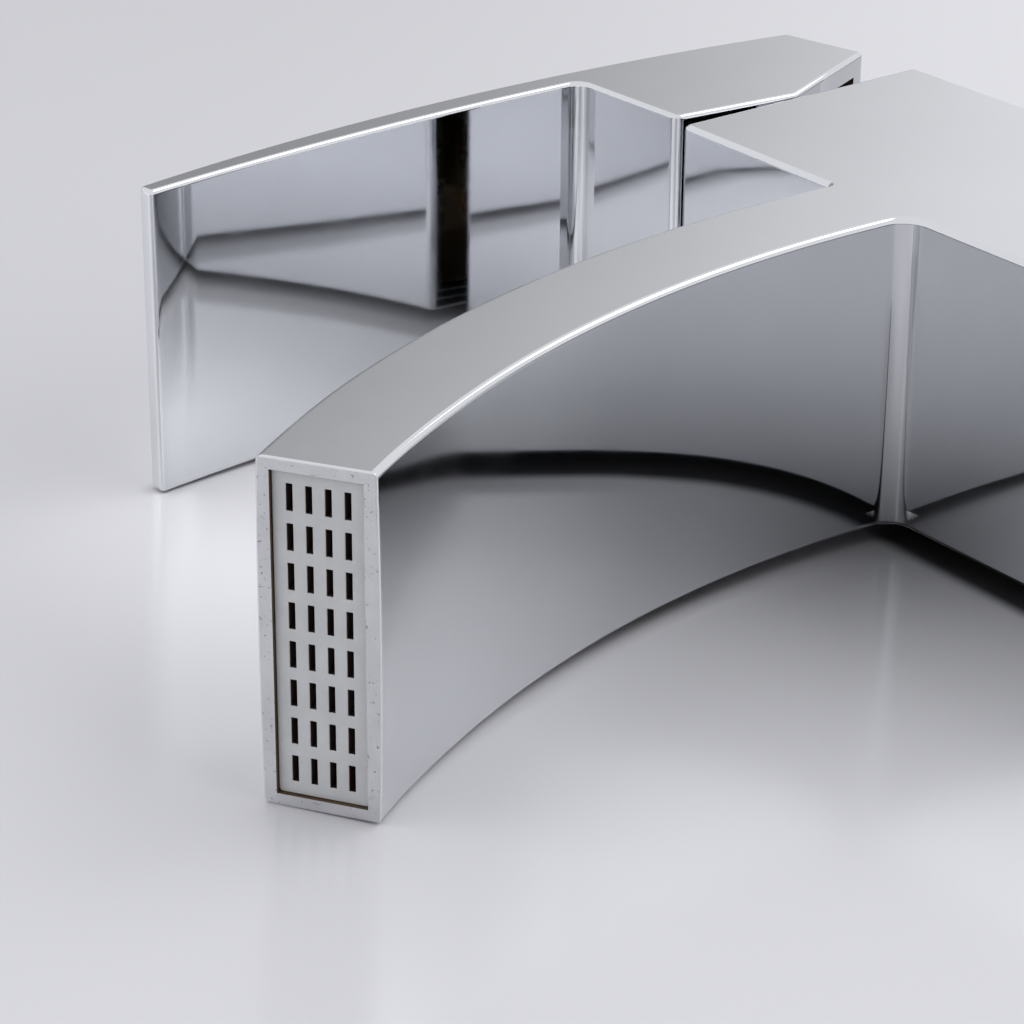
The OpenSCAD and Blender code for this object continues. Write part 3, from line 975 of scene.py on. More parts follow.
    def dress(self, casting: Piece) -> None:
        """Plate the casting, and leave its rim ground and its inside raw.

        Args:
            casting: The finished object.
        """
        dressed(casting, PLATE, GROUND_RIM, RAW_CASTING)
        rim = 0.4 * MM
        painted(
            casting, 1,
            lambda at, normal: abs(self.depth_at_outlet(at)) < rim and normal.dot(self.outward) > 0.9,
        )
        inside = self.width / 2 - self.rim_end + 0.1 * MM
        painted(
            casting, 2,
            lambda at, normal: self.depth_at_outlet(at) > rim and self.in_throat(at, normal, inside),
        )
        painted(casting, 2, lambda at, normal: math.hypot(at.x, at.y) < self.nut_bore_r + 0.01 * MM
                and self.top_z - self.seat_depth - MM < at.z < self.top_z - 0.3 * MM)
        painted(casting, 2, lambda at, normal: self.low.z + 0.01 * MM < at.z < 3 * self.inlet_l
                and abs(at.x) < self.width / 2 - 2 * MM and abs(at.y) < self.width / 2 - 2 * MM)
        joined_to(casting, Body.FAUCET, Slot.CHROME, "body_casting")

    def in_throat(self, at: Vector, normal: Vector, inside: float) -> bool:
        """Tell whether a face lies in the outlet's pocket or throat and faces into it.

        Args:
            at: The face's middle.
            normal: The way that it faces.
            inside: The greatest distance from the middle plane.

        Returns:
            True inside, and False on the spout's outer faces too.
        """
        height = (at - self.outlet).dot(self.upward)
        deep = self.depth_at_outlet(at) < self.pocket_depth + self.throat_depth + MM
        within = abs(at.x) < inside and abs(height) < self.spout_t / 2 - self.rim_long + 0.3 * MM
        return deep and within and height * normal.dot(self.upward) < 0.01 * MM


@dataclass
class OutletGrille:
    """The plastic grille in the spout's end, with its rows of slots. Sizes are in metres."""

    rows: int = 8
    columns: int = 4
    row_pitch: float = 5 * MM
    column_pitch: float = 2.4 * MM
    slot_l: float = 3.4 * MM
    thickness: float = 3 * MM
    recess: float = 0.6 * MM
    slot_edge_r: float = 0.1 * MM
    corner_r: float = 0.4 * MM
    rim_edge_r: float = 0.15 * MM

    def build(self, casting: BodyCasting) -> Piece:
        """Model the grille flat, then set it in the outlet.

        Args:
            casting: The sizes of the casting that holds it.

        Returns:
            The finished object.
        """
        gap = 0.1 * MM
        length = casting.width - 2 * (casting.rim_end + gap)
        height = casting.spout_t - 2 * (casting.rim_long + gap)
        grille = self.one_slot()
        for count, step in ((self.rows, (self.row_pitch, 0, 0)), (self.columns, (0, self.column_pitch, 0))):
            finish_with(
                grille, "ARRAY", count=count, use_relative_offset=False, use_constant_offset=True,
                constant_offset_displace=step, use_merge_vertices=True, merge_threshold=0.01 * MM,
            )
        self.add_border(grille, length, height)
        self.set_in(grille, casting)
        closed(grille)
        polished_normals(grille, angle=40)
        return grille

    def one_slot(self) -> Piece:
        """Model one slot with the plastic around it.

        Returns:
            The tile.
        """
        land = (self.row_pitch - self.slot_l) / 2
        clear_bench()
        first = (-(self.rows - 1) / 2 * self.row_pitch, -(self.columns - 1) / 2 * self.column_pitch, 0)
        bpy.ops.mesh.primitive_plane_add(size=1, location=first)
        bpy.context.object.scale = (self.row_pitch, self.column_pitch, 1)
        tile = placed("faucet_outlet_grille")
        with shaping(tile):
            select_everything()
            bpy.ops.mesh.inset(thickness=land - self.slot_edge_r)
            for tilt in (0.3, 0.7, 1.0):
                bpy.ops.mesh.inset(thickness=self.slot_edge_r / 3, depth=-self.slot_edge_r * tilt / 2)
            draw_out((0, 0, -self.thickness + self.slot_edge_r))
            bpy.ops.mesh.delete(type="FACE")
        return tile

    def add_border(self, grille: Piece, length: float, height: float) -> None:
        """Draw the tiles' outline out to the grille's own size and down its sides.

        Args:
            grille: The tiles.
            length: The grille's length.
            height: The grille's height.
        """
        tiles_l = self.rows * self.row_pitch
        tiles_h = self.columns * self.column_pitch
        near = 0.01 * MM

        def outline(a: Vector, b: Vector) -> bool:
            """Tell whether an edge is on the tiles' outline.

            Args:
                a: One end of the edge.
                b: Its other end.

            Returns:
                True where it is.
            """
            on_side = any(
                abs(abs(a[i]) - half) < near and abs(abs(b[i]) - half) < near and abs(a[i] - b[i]) < near
                for i, half in ((0, tiles_l / 2), (1, tiles_h / 2))
            )
            return on_side and abs(a.z) < near and abs(b.z) < near

        with shaping(grille, "EDGE"):
            pick_edges(grille, outline)
            draw_out((0, 0, 0))
            bpy.ops.transform.resize(value=(length / tiles_l, height / tiles_h, 1), center_override=(0, 0, 0))
            draw_out((0, 0, -self.thickness))
            pick_edges(grille, lambda a, b: max(a.z, b.z) < near - self.thickness)
            bpy.ops.mesh.fill()

        half_l, half_h = length / 2, height / 2
        softened(grille, self.corner_r, 4, lambda a, b: all(
            abs(abs(p.x) - half_l) < near and abs(abs(p.y) - half_h) < near for p in (a, b)
        ) and abs(a.z - b.z) > near)

        def rim(a: Vector, b: Vector) -> bool:
            """Tell whether an edge is on the grille's front outline.

            Args:
                a: One end of the edge.
                b: Its other end.

            Returns:
                True where it is.
            """
            far_l, far_h = half_l - self.corner_r - near, half_h - self.corner_r - near
            far = [(abs(p.x) > far_l, abs(p.y) > far_h) for p in (a, b)]
            outside = all(any(sides) for sides in far)
            in_corner = all(all(sides) for sides in far)
            flat = abs(a.z) < near and abs(b.z) < near
            on_side = any(
                abs(abs(a[i]) - half) < near and abs(abs(b[i]) - half) < near
                for i, half in ((0, half_l), (1, half_h))
            )
            return flat and outside and (on_side or in_corner) and (a - b).length > near

        softened(grille, self.rim_edge_r, 2, rim)

    def set_in(self, grille: Piece, casting: BodyCasting) -> None:
        """Turn the flat grille to face out of the spout and set it behind the rim.

        Args:
            grille: The flat grille.
            casting: The sizes of the casting.
        """
        place = casting.outlet - casting.outward * self.recess
        grille.matrix_world = Matrix.Translation(place) @ Matrix(
            (X_AXIS, casting.upward, X_AXIS.cross(casting.upward))
        ).transposed().to_4x4()
        take_up(grille)
        bpy.ops.object.transform_apply(location=True, rotation=True, scale=True)

    def dress(self, grille: Piece, casting: BodyCasting) -> None:
        """Give the grille its plastic, with shade painted dark inside its slots.

        Args:
            grille: The finished object.
            casting: The sizes of the casting.
        """
        dressed(grille, GREY_PLASTIC, PAINTED_SLOT_SHADE)
        # The slot walls deeper than the recess get the painted shade
        deep = self.recess + self.slot_edge_r + 0.1 * MM
        painted(grille, 1, lambda at, normal: (casting.outlet - at).dot(casting.outward) > deep)
        joined_to(grille, Body.FAUCET, Slot.GREY_PLASTIC, "outlet_grille")


@dataclass
class LeverHandle:
    """The handle, a block with a thin curved lever, one plated casting. Sizes are in metres."""

    lever_crest: float = 16.5 * MM
    lever_t: float = 4.6 * MM
    lever_top_r: float = 325 * MM
    lever_under_r: float = 460 * MM
    lever_corner_r: float = 2.3 * MM
    block_front_gap: float = 3.1 * MM
    block_front_set: float = 0.5 * MM
    block_front_draw: float = 1.0 * MM
    block_back_set: float = 0.9 * MM
    block_back_draw: float = 2 * MM
    block_rise: float = 23.3
    wall: float = 3.2 * MM
    roof: float = 8 * MM
    boss_w: float = 15.2 * MM
    socket_w: float = 8.2 * MM
    socket_h: float = 18.3 * MM
    screw_h: float = 14.5 * MM
    screw_r: float = 2.55 * MM
    plug_r: float = 3.2 * MM
    plug_l: float = 2.4 * MM
    rib_w: float = 9.6 * MM
    edge_r: float = 0.7 * MM
    under_edge_r: float = 1.5 * MM
    skin: float = 0.002 * MM
    top_steps: int = 90
    under_steps: int = 60

    def __post_init__(self) -> None:
        """Take the overall sizes from the frame and work out the lever's arcs."""
        self.low, self.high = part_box("handle")
        body_low, body_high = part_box("body_casting")
        self.width = self.high.x - self.low.x
        self.column_z = body_high.z
        self.front_y = body_high.y - self.width
        self.back_y = body_high.y
        crest_y = self.front_y - self.lever_crest
        self.top_centre = Vector((crest_y, self.high.z - self.skin - self.lever_top_r))
        self.under_centre = Vector((crest_y, self.high.z - self.lever_t - self.lever_under_r))
        self.block_front_y = self.front_y + self.block_front_set
        self.root_z = self.arc_z(self.under_centre, self.lever_under_r, self.block_front_y)
        self.front_z = self.column_z + self.block_front_gap
        self.foot_y = self.back_y - self.block_back_set
        self.foot_z = self.low.z + self.foot_y * math.tan(math.radians(self.block_rise))
        self.hollow_z = self.high.z - self.roof - self.lever_corner_r
        self.tip_z = self.arc_z(self.under_centre, self.lever_under_r, self.low.y)
        self.tip_top_z = self.arc_z(self.top_centre, self.lever_top_r, self.low.y)
        self.back_top_y = self.foot_y - self.block_back_draw
        for _ in range(4):  # Where the sloping back meets the arc, nearer each time
            self.back_top_y = self.block_back(self.arc_z(self.top_centre, self.lever_top_r, self.back_top_y))
        self.back_top_z = self.arc_z(self.top_centre, self.lever_top_r, self.back_top_y)

    @staticmethod
    def arc_z(centre: Vector, radius: float, y: float) -> float:
        """Give the height of an arc's upper side at a place along Y."""
        return centre.y + math.sqrt(radius * radius - (y - centre.x) ** 2)

    def block_front(self, z: float) -> float:
        """Give the place of the block's front face at a height."""
        return self.block_front_y + self.block_front_draw * (self.root_z - z) / (self.root_z - self.front_z)

    def block_back(self, z: float) -> float:
        """Give the place of the block's back face at a height."""
        return self.foot_y - self.block_back_draw * (z - self.foot_z) / (self.hollow_z - self.foot_z)

    def build(self) -> Piece:
        """Model the handle.

        Returns:
            The finished object.
        """
        handle = self.drawn_out()
        self.round_edges(handle)
        self.hollow_out(handle)
        closed(handle)
        polished_normals(handle)
        return handle

    def drawn_out(self) -> Piece:
        """Draw the side outline and draw it out to the faucet's width.

        Returns:
            The plain solid.
        """
        face_top = Vector((self.block_front_y, self.root_z))
        face_foot = Vector((self.block_front(self.front_z), self.front_z))
        corner = corner_centre(
            face_top, face_foot, self.under_centre, self.lever_under_r - self.lever_corner_r,
            self.lever_corner_r,
        )
        arc_end = self.under_centre + (corner - self.under_centre).normalized() * self.lever_under_r
        along = (face_foot - face_top).normalized()
        face_end = face_top + along * (corner - face_top).dot(along)
        line = SideLine("faucet_handle", self.low.x, self.low.y, self.tip_z)
        line.line(self.low.y, self.tip_top_z)
        line.arc(self.top_centre, self.back_top_y, self.back_top_z, steps=self.top_steps)
        line.line(self.foot_y, self.foot_z).line(0, self.low.z).line(face_foot.x, face_foot.y)
        line.line(face_end.x, face_end.y).arc(corner, arc_end.x, arc_end.y, steps=14)
        line.arc(self.under_centre, self.low.y, self.tip_z, steps=self.under_steps)
        return line.across(self.width)

    def round_edges(self, handle: Piece) -> None:
        """Round the handle's edges.

        Args:
            handle: The handle.
        """
        corners = (
            (self.low.y, self.tip_z), (self.low.y, self.tip_top_z), (self.foot_y, self.foot_z),
            (self.back_top_y, self.back_top_z),
        )

        def under_front(a: Vector, b: Vector) -> bool:
            """Tell whether an edge is the block's lower front edge."""
            return all(abs(p.z - self.front_z) < NEAR and p.y < self.front_y + 3 * MM for p in (a, b))

        def across(a: Vector, b: Vector) -> bool:
            """Tell whether an edge is a sharp one that runs across the handle."""
            same = abs(a.y - b.y) < NEAR and abs(a.z - b.z) < NEAR
            return same and any(abs(a.y - y) < NEAR and abs(a.z - z) < NEAR for y, z in corners)

        with shaping(handle, "EDGE"):
            pick_edges(handle, lambda a, b: along_side(a, b, self.width / 2) or across(a, b))
            bpy.ops.transform.edge_bevelweight(value=self.edge_r / self.under_edge_r)
            pick_edges(handle, under_front)
            bpy.ops.transform.edge_bevelweight(value=1.0)
        rounded_by_weight(handle, self.under_edge_r)

    def hollow_out(self, handle: Piece) -> None:
        """Hollow the block round the spindle's socket, and drill the set screw's hole.

        Args:
            handle: The handle.
        """
        floor_z = self.column_z
        half = self.width / 2 - self.wall
        tool = SideLine("hollow_tool", -half, self.block_front(floor_z) + self.wall, floor_z)
        tool.line(self.block_back(floor_z) - self.wall, floor_z)
        tool.line(self.block_back(self.hollow_z) - self.wall, self.hollow_z)
        tool.line(self.block_front(self.hollow_z) + self.wall, self.hollow_z)
        tool.line(self.block_front(floor_z) + self.wall, floor_z)
        hollow = tool.across(2 * half)
        high = self.hollow_z + MM
        boss = Vector((self.boss_w / 2, self.boss_w / 2, 0))
        worked(hollow, box_piece("boss_tool", Z_AXIS * (floor_z - MM) - boss, Z_AXIS * high + boss))
        screw_z = self.column_z + self.screw_h
        rib_low = Vector((-self.rib_w / 2, 0, screw_z - self.plug_r - self.wall))
        worked(hollow, box_piece("rib_tool", rib_low, Vector((self.rib_w / 2, self.back_y, high))))
        worked(handle, hollow)
        socket = Vector((self.socket_w / 2, self.socket_w / 2, 0))
        top = Z_AXIS * (self.column_z + self.socket_h)
        worked(handle, box_piece("socket_tool", Z_AXIS * floor_z - socket, top + socket))
        screw = Vector((0, 0, screw_z))
        worked(handle, round_piece("screw_tool", screw, self.screw_r, self.width, Y_AXIS, 32))
        seat = Vector((0, self.block_back(screw_z) - self.plug_l, screw_z))
        worked(handle, round_piece("plug_tool", seat, self.plug_r, self.width, Y_AXIS, 48))

    def dress(self, handle: Piece) -> None:
        """Plate the handle and leave its hollow as cast.

        Args:
            handle: The finished object.
        """
        dressed(handle, PLATE, RAW_CASTING, LEVER_PLATE)
        half = self.width / 2 - self.wall + 0.05 * MM
        painted(handle, 1, lambda at, normal: abs(at.x) < half and at.z < self.hollow_z + 0.05 * MM
                and self.block_front(at.z) + 2 * MM < at.y < self.block_back(at.z) - 0.3 * MM
                and not self.outside(at, normal))
        root_y = self.front_y - self.lever_corner_r
        lowest = self.hollow_z - 5 * MM
        painted(handle, 2, lambda at, normal: normal.z < -0.95 and at.y < root_y and at.z > lowest)
        joined_to(handle, Body.HANDLE, Slot.CHROME, "handle")

    def outside(self, at: Vector, normal: Vector) -> bool:
        """Tell whether a place is on the block's outer underside."""
        under = self.low.z + max(0.0, at.y) * math.tan(math.radians(self.block_rise))
        return normal.z < -0.8 and at.z < under + MM


@dataclass
class ScrewPlug:
    """The small plug over the handle's set screw. Sizes are in metres."""

    edge_r: float = 0.35 * MM
    dish: float = 0.2 * MM
    rim_share: float = 0.55
    slope_share: float = 0.12

    def build(self) -> Piece:
        """Model the plug.

        Returns:
            The finished object.
        """
        low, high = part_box("screw_plug")
        radius = (high.x - low.x) / 2
        start = Vector(((low.x + high.x) / 2, low.y, (low.z + high.z) / 2))
        plug = round_piece("faucet_screw_plug", start, radius, high.y - low.y, Y_AXIS, 48)
        near = 0.01 * MM
        with shaping(plug):
            pick_faces(plug, lambda face: face.normal.y > 0.9)
            bpy.ops.mesh.inset(thickness=radius * self.rim_share)
            bpy.ops.mesh.inset(thickness=radius * self.slope_share, depth=-self.dish)
        softened(plug, self.edge_r, 4, lambda a, b: all(
            abs(p.y - high.y) < near and math.hypot(p.x - start.x, p.z - start.z) > radius - near
            for p in (a, b)
        ))
        polished_normals(plug, angle=35)
        return plug

    def dress(self, plug: Piece) -> None:
        """Give the plug its plastic."""
        dressed(plug, GREY_PLASTIC)
        joined_to(plug, Body.HANDLE, Slot.GREY_PLASTIC, "screw_plug")


@dataclass
class DeckClamp:
    """The stud, the two horseshoe washers and the nut that hold the faucet down. Sizes are in metres."""

    stud_r: float = 4 * MM
    thread_pitch: float = 1.25 * MM
    thread_depth: float = 0.6 * MM
    hose_slot_w: float = 29 * MM
    hose_slot_y: float = 4.5 * MM
    move_gap: float = 0.3 * MM
    washer_edge_r: float = 0.5 * MM
    plate_edge_r: float = 0.3 * MM
    nut_flats: float = 13 * MM
    nut_chamfer: float = 1.1 * MM
    nut_edge_r: float = 0.15 * MM
    core_edge_r: float = 0.5 * MM
    turn_steps: int = 36

    def __post_init__(self) -> None:
        """Take the stud's place from the frame."""
        low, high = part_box("fixing_stud")
        self.stud_low, self.stud_high = low, high
        self.stud_at = Vector((0, (low.y + high.y) / 2, 0))
        self.edge_rs = {"deck_washer": self.washer_edge_r, "clamp_plate": self.plate_edge_r}

    def build_stud(self, node: str) -> Piece:
        """Model the threaded stud by winding a tooth's outline up its axis.

        Args:
            node: The CAD node that it replaces.

        Returns:
            The finished object.
        """
        root = self.stud_r - self.thread_depth
        turns = int((self.stud_high.z - self.stud_low.z - 2 * self.thread_pitch) / self.thread_pitch)
        start = self.stud_low.z + self.thread_pitch * 0.5
        clear_bench()
        bpy.ops.mesh.primitive_plane_add(size=MM, location=(root, 0, start))
        stud = placed("faucet_" + node)
        with shaping(stud, "VERT"):
            select_everything()
            bpy.ops.mesh.merge(type="CENTER")
            share = self.thread_pitch / 8
            for outwards in (self.thread_depth, 0, -self.thread_depth, 0):
                step = (outwards, 0, 3 * share if outwards else share)
                bpy.ops.mesh.extrude_vertices_move(TRANSFORM_OT_translate={"value": step})
        finish_with(
            stud, "SCREW", axis="Z", angle=2 * math.pi, screw_offset=self.thread_pitch, iterations=turns,
            steps=self.turn_steps, render_steps=self.turn_steps, use_merge_vertices=True,
            merge_threshold=0.001 * MM,
        )
        with shaping(stud):
            select_everything()
            bpy.ops.mesh.fill_holes(sides=0)
        closed(stud)
        tall = self.stud_high.z - self.stud_low.z
        core = round_piece("stud_core", Z_AXIS * self.stud_low.z, root + 0.02 * MM, tall, sides=48)
        softened(core, self.core_edge_r, 2, lambda a, b: abs(a.z - b.z) < 0.001 * MM)
        take_up(stud)
        core.select_set(True)
        bpy.ops.object.join()
        stud.location = self.stud_at
        bpy.ops.object.transform_apply(location=True)
        polished_normals(stud, angle=25)
        return stud

    def build_horseshoe(self, node: str) -> Piece:
        """Model the washer or the plate, round with a slot for the hoses.

        Args:
            node: The CAD node that it replaces.

        Returns:
            The finished object.
        """
        low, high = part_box(node)
        radius = high.y
        disc = round_piece("faucet_" + node, Z_AXIS * low.z, radius, high.z - low.z, sides=128)
        slot_low = Vector((-self.hose_slot_w / 2, -radius - MM, low.z - MM))
        slot_high = Vector((self.hose_slot_w / 2, self.hose_slot_y, high.z + MM))
        worked(disc, box_piece("slot_tool", slot_low, slot_high))
        foot = Vector((0, self.stud_at.y, low.z - MM))
        deep = high.z - low.z + 2 * MM
        worked(disc, round_piece("hole_tool", foot, self.stud_r + self.move_gap, deep, sides=48))
        closed(disc)
        rounded_by_angle(disc, self.edge_rs[node], segments=3, angle=40)
        polished_normals(disc)
        return disc

    def build_nut(self, node: str) -> Piece:
        """Model the hexagon nut with its turned-off corners and its hole.

        Args:
            node: The CAD node that it replaces.

        Returns:
            The finished object.
        """
        low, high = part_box(node)
        tall = high.z - low.z
        corner = self.nut_flats / 2 / math.cos(math.radians(30))
        cone_r = corner * 1.02
        nut = round_piece("faucet_" + node, Z_AXIS * low.z, corner, tall, sides=6)
        corners_along_x = abs((high.x - low.x) - 2 * corner) < 0.01 * MM
        nut.rotation_euler = (0, 0, math.radians(30 if corners_along_x else 60))
        take_up(nut)
        bpy.ops.object.transform_apply(rotation=True)
        cone = round_piece("chamfer_tool", Z_AXIS * low.z, cone_r, tall, sides=96)

        def cone_outline(a: Vector, b: Vector) -> bool:
            """Tell whether an edge is on the outline of the cone tool's two ends."""
            return min(math.hypot(p.x, p.y) for p in (a, b)) > corner and abs(a.z - b.z) < 0.01 * MM

        with shaping(cone):
            for up in (-1, 1):
                pick_faces(cone, lambda face: face.normal.z * up > 0.9)
                bpy.ops.mesh.inset(thickness=cone_r - self.nut_flats / 2 * 0.97)
            pick_edges(cone, cone_outline)
            narrow = 1 - self.nut_chamfer / (tall / 2)
            bpy.ops.transform.resize(value=(1, 1, narrow), center_override=(0, 0, low.z + tall / 2))
        worked(nut, cone, Operation.KEEP_COMMON)
        tap = Z_AXIS * (low.z - MM)
        worked(nut, round_piece("tap_tool", tap, self.stud_r + 0.1 * MM, tall + 2 * MM, sides=48))
        closed(nut)
        rounded_by_angle(nut, self.nut_edge_r, segments=2, angle=35)
        nut.location = self.stud_at
        take_up(nut)
        bpy.ops.object.transform_apply(location=True)
        polished_normals(nut, angle=30)
        return nut

    def build_and_dress(self) -> None:
        """Model and dress the clamp's four pieces."""
        for node, build, finish, slot in (
            ("fixing_stud", self.build_stud, ZINC_STEEL, Slot.STEEL),
            ("deck_washer", self.build_horseshoe, RUBBER, Slot.RUBBER),
            ("clamp_plate", self.build_horseshoe, ZINC_STEEL, Slot.STEEL),
            ("fixing_nut", self.build_nut, TURNED_BRASS, Slot.BRASS),
        ):
            piece = build(node)
            dressed(piece, finish)
            joined_to(piece, Body.FAUCET, slot, node)


@dataclass
class InnerParts:
    """The CAD pieces that stay as they are: the cartridge, the seals and the small hardware."""

    finishes: tuple[tuple[Finish, tuple[str, ...]], ...] = (
        (RUBBER, ("base_gasket", "outlet_seal", "port_seals", "disc_seals")),
        (ZINC_STEEL, ("flow_screen", "spindle_pin", "handle_set_screw")),
        (WHITE_PLASTIC, ("cartridge_base", "disc_carrier", "cartridge_housing")),
        (CERAMIC, ("fixed_disc", "moving_disc")),
        (RED_PLASTIC, ("cartridge_rotor",)),
        (TURNED_BRASS, ("cartridge_spindle", "cartridge_nut")),
    )

    def dress(self) -> None:
        """Put the finishes on the pieces' own material slots."""
        for finish, nodes in self.finishes:
            for node in nodes:
                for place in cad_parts[node].material_slots:
                    place.material = finish.material()
                log.info("%s: finish %s", node, finish.name)


# The studio

@dataclass(frozen=True)
class Glow:
    """A soft round patch of light on the world, full inside one angle and gone outside another."""

    side: tuple[float, float, float]
    full: float
    gone: float
    level: float

    def on(self, board: NodeBoard, way: Socket) -> Socket:
        """Lay out the patch's brightness.

        Args:
            board: The world's nodes.
            way: The socket of the direction that is looked at.

        Returns:
            The socket of its brightness.
        """
        middle = tuple(Vector(self.side).normalized())
        facing = board.add("VectorMath", {"operation": "DOT_PRODUCT"}, _0=way, _1=middle).outputs["Value"]
        low, high = (math.cos(math.radians(angle)) for angle in (self.gone, self.full))
        return board.spread(facing, low, high, 0.0, self.level, smooth=True)


@dataclass
class Studio:
    """The pale glossy table that the faucet lies on, the soft light and the lamp. Sizes are in metres.

    The faucet lies on its -X side, on the ends of its spout and lever and on its base, so a narrow gap
    is left under the column.
    """

    floor_size: float = 8.0
    floor_colour: tuple[float, float, float] = (0.69, 0.685, 0.715)
    floor_roughness: float = 0.16
    # The table is open where metal lies this near to it, and to looks that are this short
    cover_reach: float = 30 * MM
    open_reach: float = 12 * MM
    # The shade painted into the table's colour along the spout's foot, which grows along Y from the one place
    # to the other
    contact_reach: float = 3.6 * MM
    contact_from: float = -110 * MM
    contact_to: float = -35 * MM
    contact_depth: float = 0.93
    shade_colour: tuple[float, float, float] = (0.01, 0.01, 0.012)
    # The shade painted into the table's colour under the column: where it starts, is full, starts to fade and
    # ends
    shade_y: tuple[float, float, float, float] = (-25.8 * MM, -22.6 * MM, 14 * MM, 19 * MM)
    shade_z: tuple[float, float, float, float] = (-4 * MM, 5 * MM, 93 * MM, 101 * MM)
    # The points that touch the table: the spout's end, the lever's end and the base
    rests_on: tuple[tuple[float, float, float], ...] = (
        (-22.55 * MM, -131 * MM, 76 * MM), (-22.55 * MM, -98.8 * MM, 159 * MM), (-26.4 * MM, 0, 0)
    )
    backdrop_colour: tuple[float, float, float] = (0.865, 0.868, 0.895)
    backdrop_dip: Glow = Glow((0.17, 0.337, 0.926), 13.6, 28.0, 0.614)
    # The last bounce at which metal still mirrors the backdrop
    mirror_depth: float = 2.5
    light_colour: tuple[float, float, float] = (0.97, 0.98, 1.0)
    glows: tuple[Glow, ...] = (
        Glow((0.83, 0.36, 0.42), 15, 62, 1.1),
        Glow((0.31, -0.90, 0.31), 15, 45, 1.5),
        Glow((0.53, -0.54, 0.65), 10, 40, 0.9),
        Glow((0.53, 0.52, -0.67), 12, 42, 1.85),
    )
    lamp_level: float = 1.9
    lamp_side: tuple[float, float, float] = (0.77, 0.64, 0.03)
    lamp_distance: float = 1.2
    lamp_size: tuple[float, float] = (0.6, 0.6)
    spot_at: tuple[float, float, float] = (0.6, -0.078, 0.139)
    spot_power: float = 7.5
    spot_angle: float = 6.3
    spot_blend: float = 0.5
    spot_soft: float = 30 * MM

    def build(self) -> None:
        """Lay the floor, set the world and hang the lamp."""
        self.lay_floor()
        self.set_world()
        self.hang_lamp()

    def lay_floor(self) -> None:
        """Lay the floor under what the faucet rests on.

        It is one-way, and open to what the metal lying on it mirrors, so that it hides and darkens
        nothing that is looked at from behind.
        """
        clear_bench()
        first, second, third = (Vector(point) for point in self.rests_on)
        up = (second - first).cross(third - first).normalized()
        if up.x < 0:
            up = -up
        bpy.ops.mesh.primitive_plane_add(
            size=self.floor_size, location=first, rotation=up.to_track_quat("Z", "Y").to_euler()
        )
        floor = placed("studio_floor")
        material = bpy.data.materials.new("pale_table")
        board = NodeBoard(material)
        # The table's colour carries painted shade in the gap under the column and along the spout's foot
        colour = board.mixed(self.contact_shade(board), tone(*self.floor_colour), tone(*self.shade_colour))
        front = board.add("BsdfPrincipled", Base_Color=colour, Roughness=self.floor_roughness)
        back = board.add("BsdfTransparent")
        covered = board.add("AmbientOcclusion", {"samples": 16}, Distance=self.cover_reach).outputs["AO"]
        path = board.add("LightPath").outputs
        from_close = board.sum(
            "MULTIPLY", path["Is Glossy Ray"], board.sum("LESS_THAN", path["Ray Length"], self.open_reach)
        )
        opened = board.sum("MULTIPLY", board.spread(covered, 0.02, 0.08, 1.0, 0.0), from_close)
        behind = board.sum("MAXIMUM", board.add("NewGeometry").outputs["Backfacing"], opened)
        mix = board.add("MixShader", _0=behind, _1=front.outputs[0], _2=back.outputs[0])
        board.output(mix.outputs[0])
        floor.data.materials.append(material)

    def contact_shade(self, board: NodeBoard) -> Socket:
        """Lay out the shade painted into the table's colour in the narrow gap under the column and along the
        spout's foot beside it.

        Args:
            board: The table's nodes.

        Returns:
            The socket of its strength.
        """
        place = board.add("SeparateXYZ", _0=board.add("TexCoord").outputs["Object"]).outputs
        closeness = board.add("AmbientOcclusion", {"samples": 8}, Distance=self.contact_reach).outputs["AO"]
        beside = board.sum(
            "MULTIPLY", board.spread(closeness, 0.2, 0.72, 1.0, 0.0, smooth=True),
            board.spread(place["Y"], self.contact_from, self.contact_to, 0.0, 1.0, smooth=True),
        )
        under = 1.0
        for axis, (start, full, leave, end) in (("Y", self.shade_y), ("Z", self.shade_z)):
            for low, high, first, last in ((start, full, 0.0, 1.0), (leave, end, 1.0, 0.0)):
                edge = board.spread(place[axis], low, high, first, last, smooth=True)
                under = board.sum("MULTIPLY", under, edge)
        near_side = board.spread(place["Z"], self.shade_z[2], self.shade_z[3], 1.0, 0.0, smooth=True)
        shade = board.sum("MAXIMUM", board.sum("MULTIPLY", beside, near_side), under)
        return board.sum("MULTIPLY", shade, self.contact_depth)

    def set_world(self) -> None:
        """Set the soft light, and the pale backdrop that is seen directly, in metal and through glass."""
        world = bpy.data.worlds.new("studio_light")
        bpy.context.scene.world = world
        board = NodeBoard(world)
        way = board.add("TexCoord").outputs["Generated"]
        level = 0.0
        for glow in self.glows:
            level = board.sum("ADD", level, glow.on(board, way))
        soft = board.add("Background", Color=tone(*self.light_colour), Strength=level)
        pale = board.sum("SUBTRACT", 1.0, self.backdrop_dip.on(board, way))
        shown = board.add("Background", Color=tone(*self.backdrop_colour), Strength=pale)
        ray = board.add("LightPath").outputs
        first_looks = board.sum("LESS_THAN", ray["Ray Depth"], self.mirror_depth)
        in_metal = board.sum("MULTIPLY", ray["Is Glossy Ray"], first_looks)
        through = board.sum("ADD", in_metal, ray["Is Transmission Ray"])
        seen = board.sum("ADD", ray["Is Camera Ray"], through, clamp=True)
        mix = board.add("MixShader", _0=seen, _1=soft.outputs[0], _2=shown.outputs[0])
        board.output(mix.outputs[0], "OutputWorld")

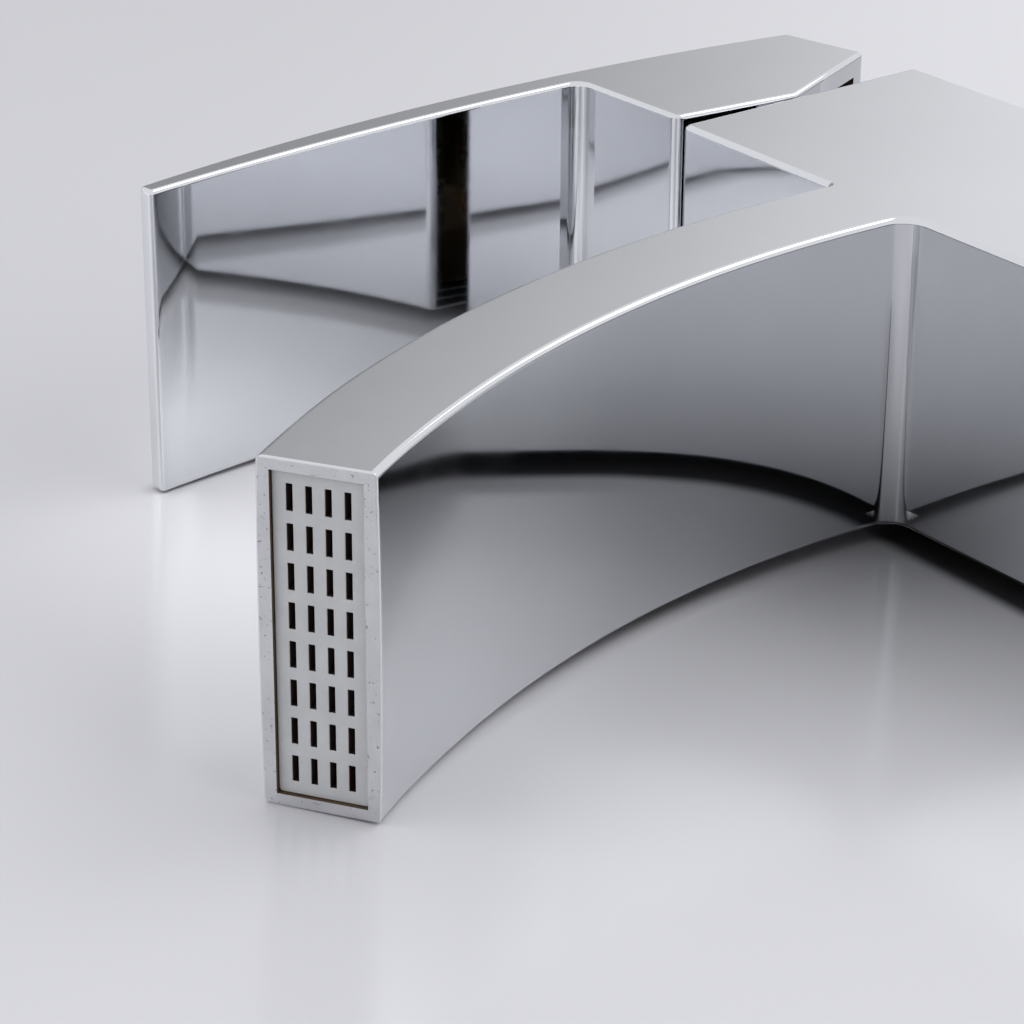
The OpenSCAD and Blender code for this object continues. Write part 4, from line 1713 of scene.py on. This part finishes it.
    def hang_lamp(self) -> None:
        """Hang the broad soft lamp on the faucet's far side, and a small spot over the lever's gap."""
        clear_bench()
        at = Vector(self.lamp_side).normalized() * self.lamp_distance
        bpy.ops.object.light_add(type="AREA", location=at, rotation=(-at).to_track_quat("-Z", "Y").to_euler())
        lamp = bpy.context.object
        lamp.name = "soft_lamp"
        lamp.data.shape = "RECTANGLE"
        lamp.data.size, lamp.data.size_y = self.lamp_size
        lamp.data.energy = self.lamp_level * math.pi * self.lamp_size[0] * self.lamp_size[1]
        bpy.ops.object.light_add(type="SPOT", location=self.spot_at, rotation=(0, math.pi / 2, 0))
        spot = bpy.context.object
        spot.name = "small_spot"
        spot.visible_glossy = False
        spot.data.energy = self.spot_power
        spot.data.spot_size = math.radians(self.spot_angle)
        spot.data.spot_blend = self.spot_blend
        spot.data.shadow_soft_size = self.spot_soft


@dataclass
class PhotoCamera:
    """The camera at the photograph's place, which looks down on the faucet's side. Sizes are in metres."""

    place: tuple[float, float, float] = (182.541 * MM, -329.990 * MM, -223.205 * MM)
    right: tuple[float, float, float] = (0.00539272, 0.79645369, -0.60467548)
    up: tuple[float, float, float] = (0.9065255, 0.2513573, 0.33916224)
    lens: float = 122.64
    sensor: float = 36.0

    def build(self) -> None:
        """Set the camera up and make it the scene's own."""
        clear_bench()
        right, up = Vector(self.right), Vector(self.up)
        turn = Matrix((right, up, right.cross(up))).transposed()
        bpy.ops.object.camera_add(location=self.place, rotation=turn.to_euler())
        camera = bpy.context.object
        camera.name = "photo_camera"
        camera.data.lens = self.lens
        camera.data.sensor_width = self.sensor
        camera.data.clip_start = 10 * MM
        camera.data.clip_end = 20.0
        bpy.context.scene.camera = camera


def main() -> None:
    """Build the faucet piece by piece, then the studio and the camera."""
    logging.basicConfig(level=logging.INFO, format="%(name)s: %(message)s")
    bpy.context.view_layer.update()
    casting = BodyCasting()
    casting.dress(casting.build())
    grille = OutletGrille()
    grille.dress(grille.build(casting), casting)
    handle = LeverHandle()
    handle.dress(handle.build())
    plug = ScrewPlug()
    plug.dress(plug.build())
    DeckClamp().build_and_dress()
    InnerParts().dress()
    Studio().build()
    PhotoCamera().build()
    bpy.context.scene.view_settings.view_transform = "Standard"


if __name__ == "__main__":
    main()
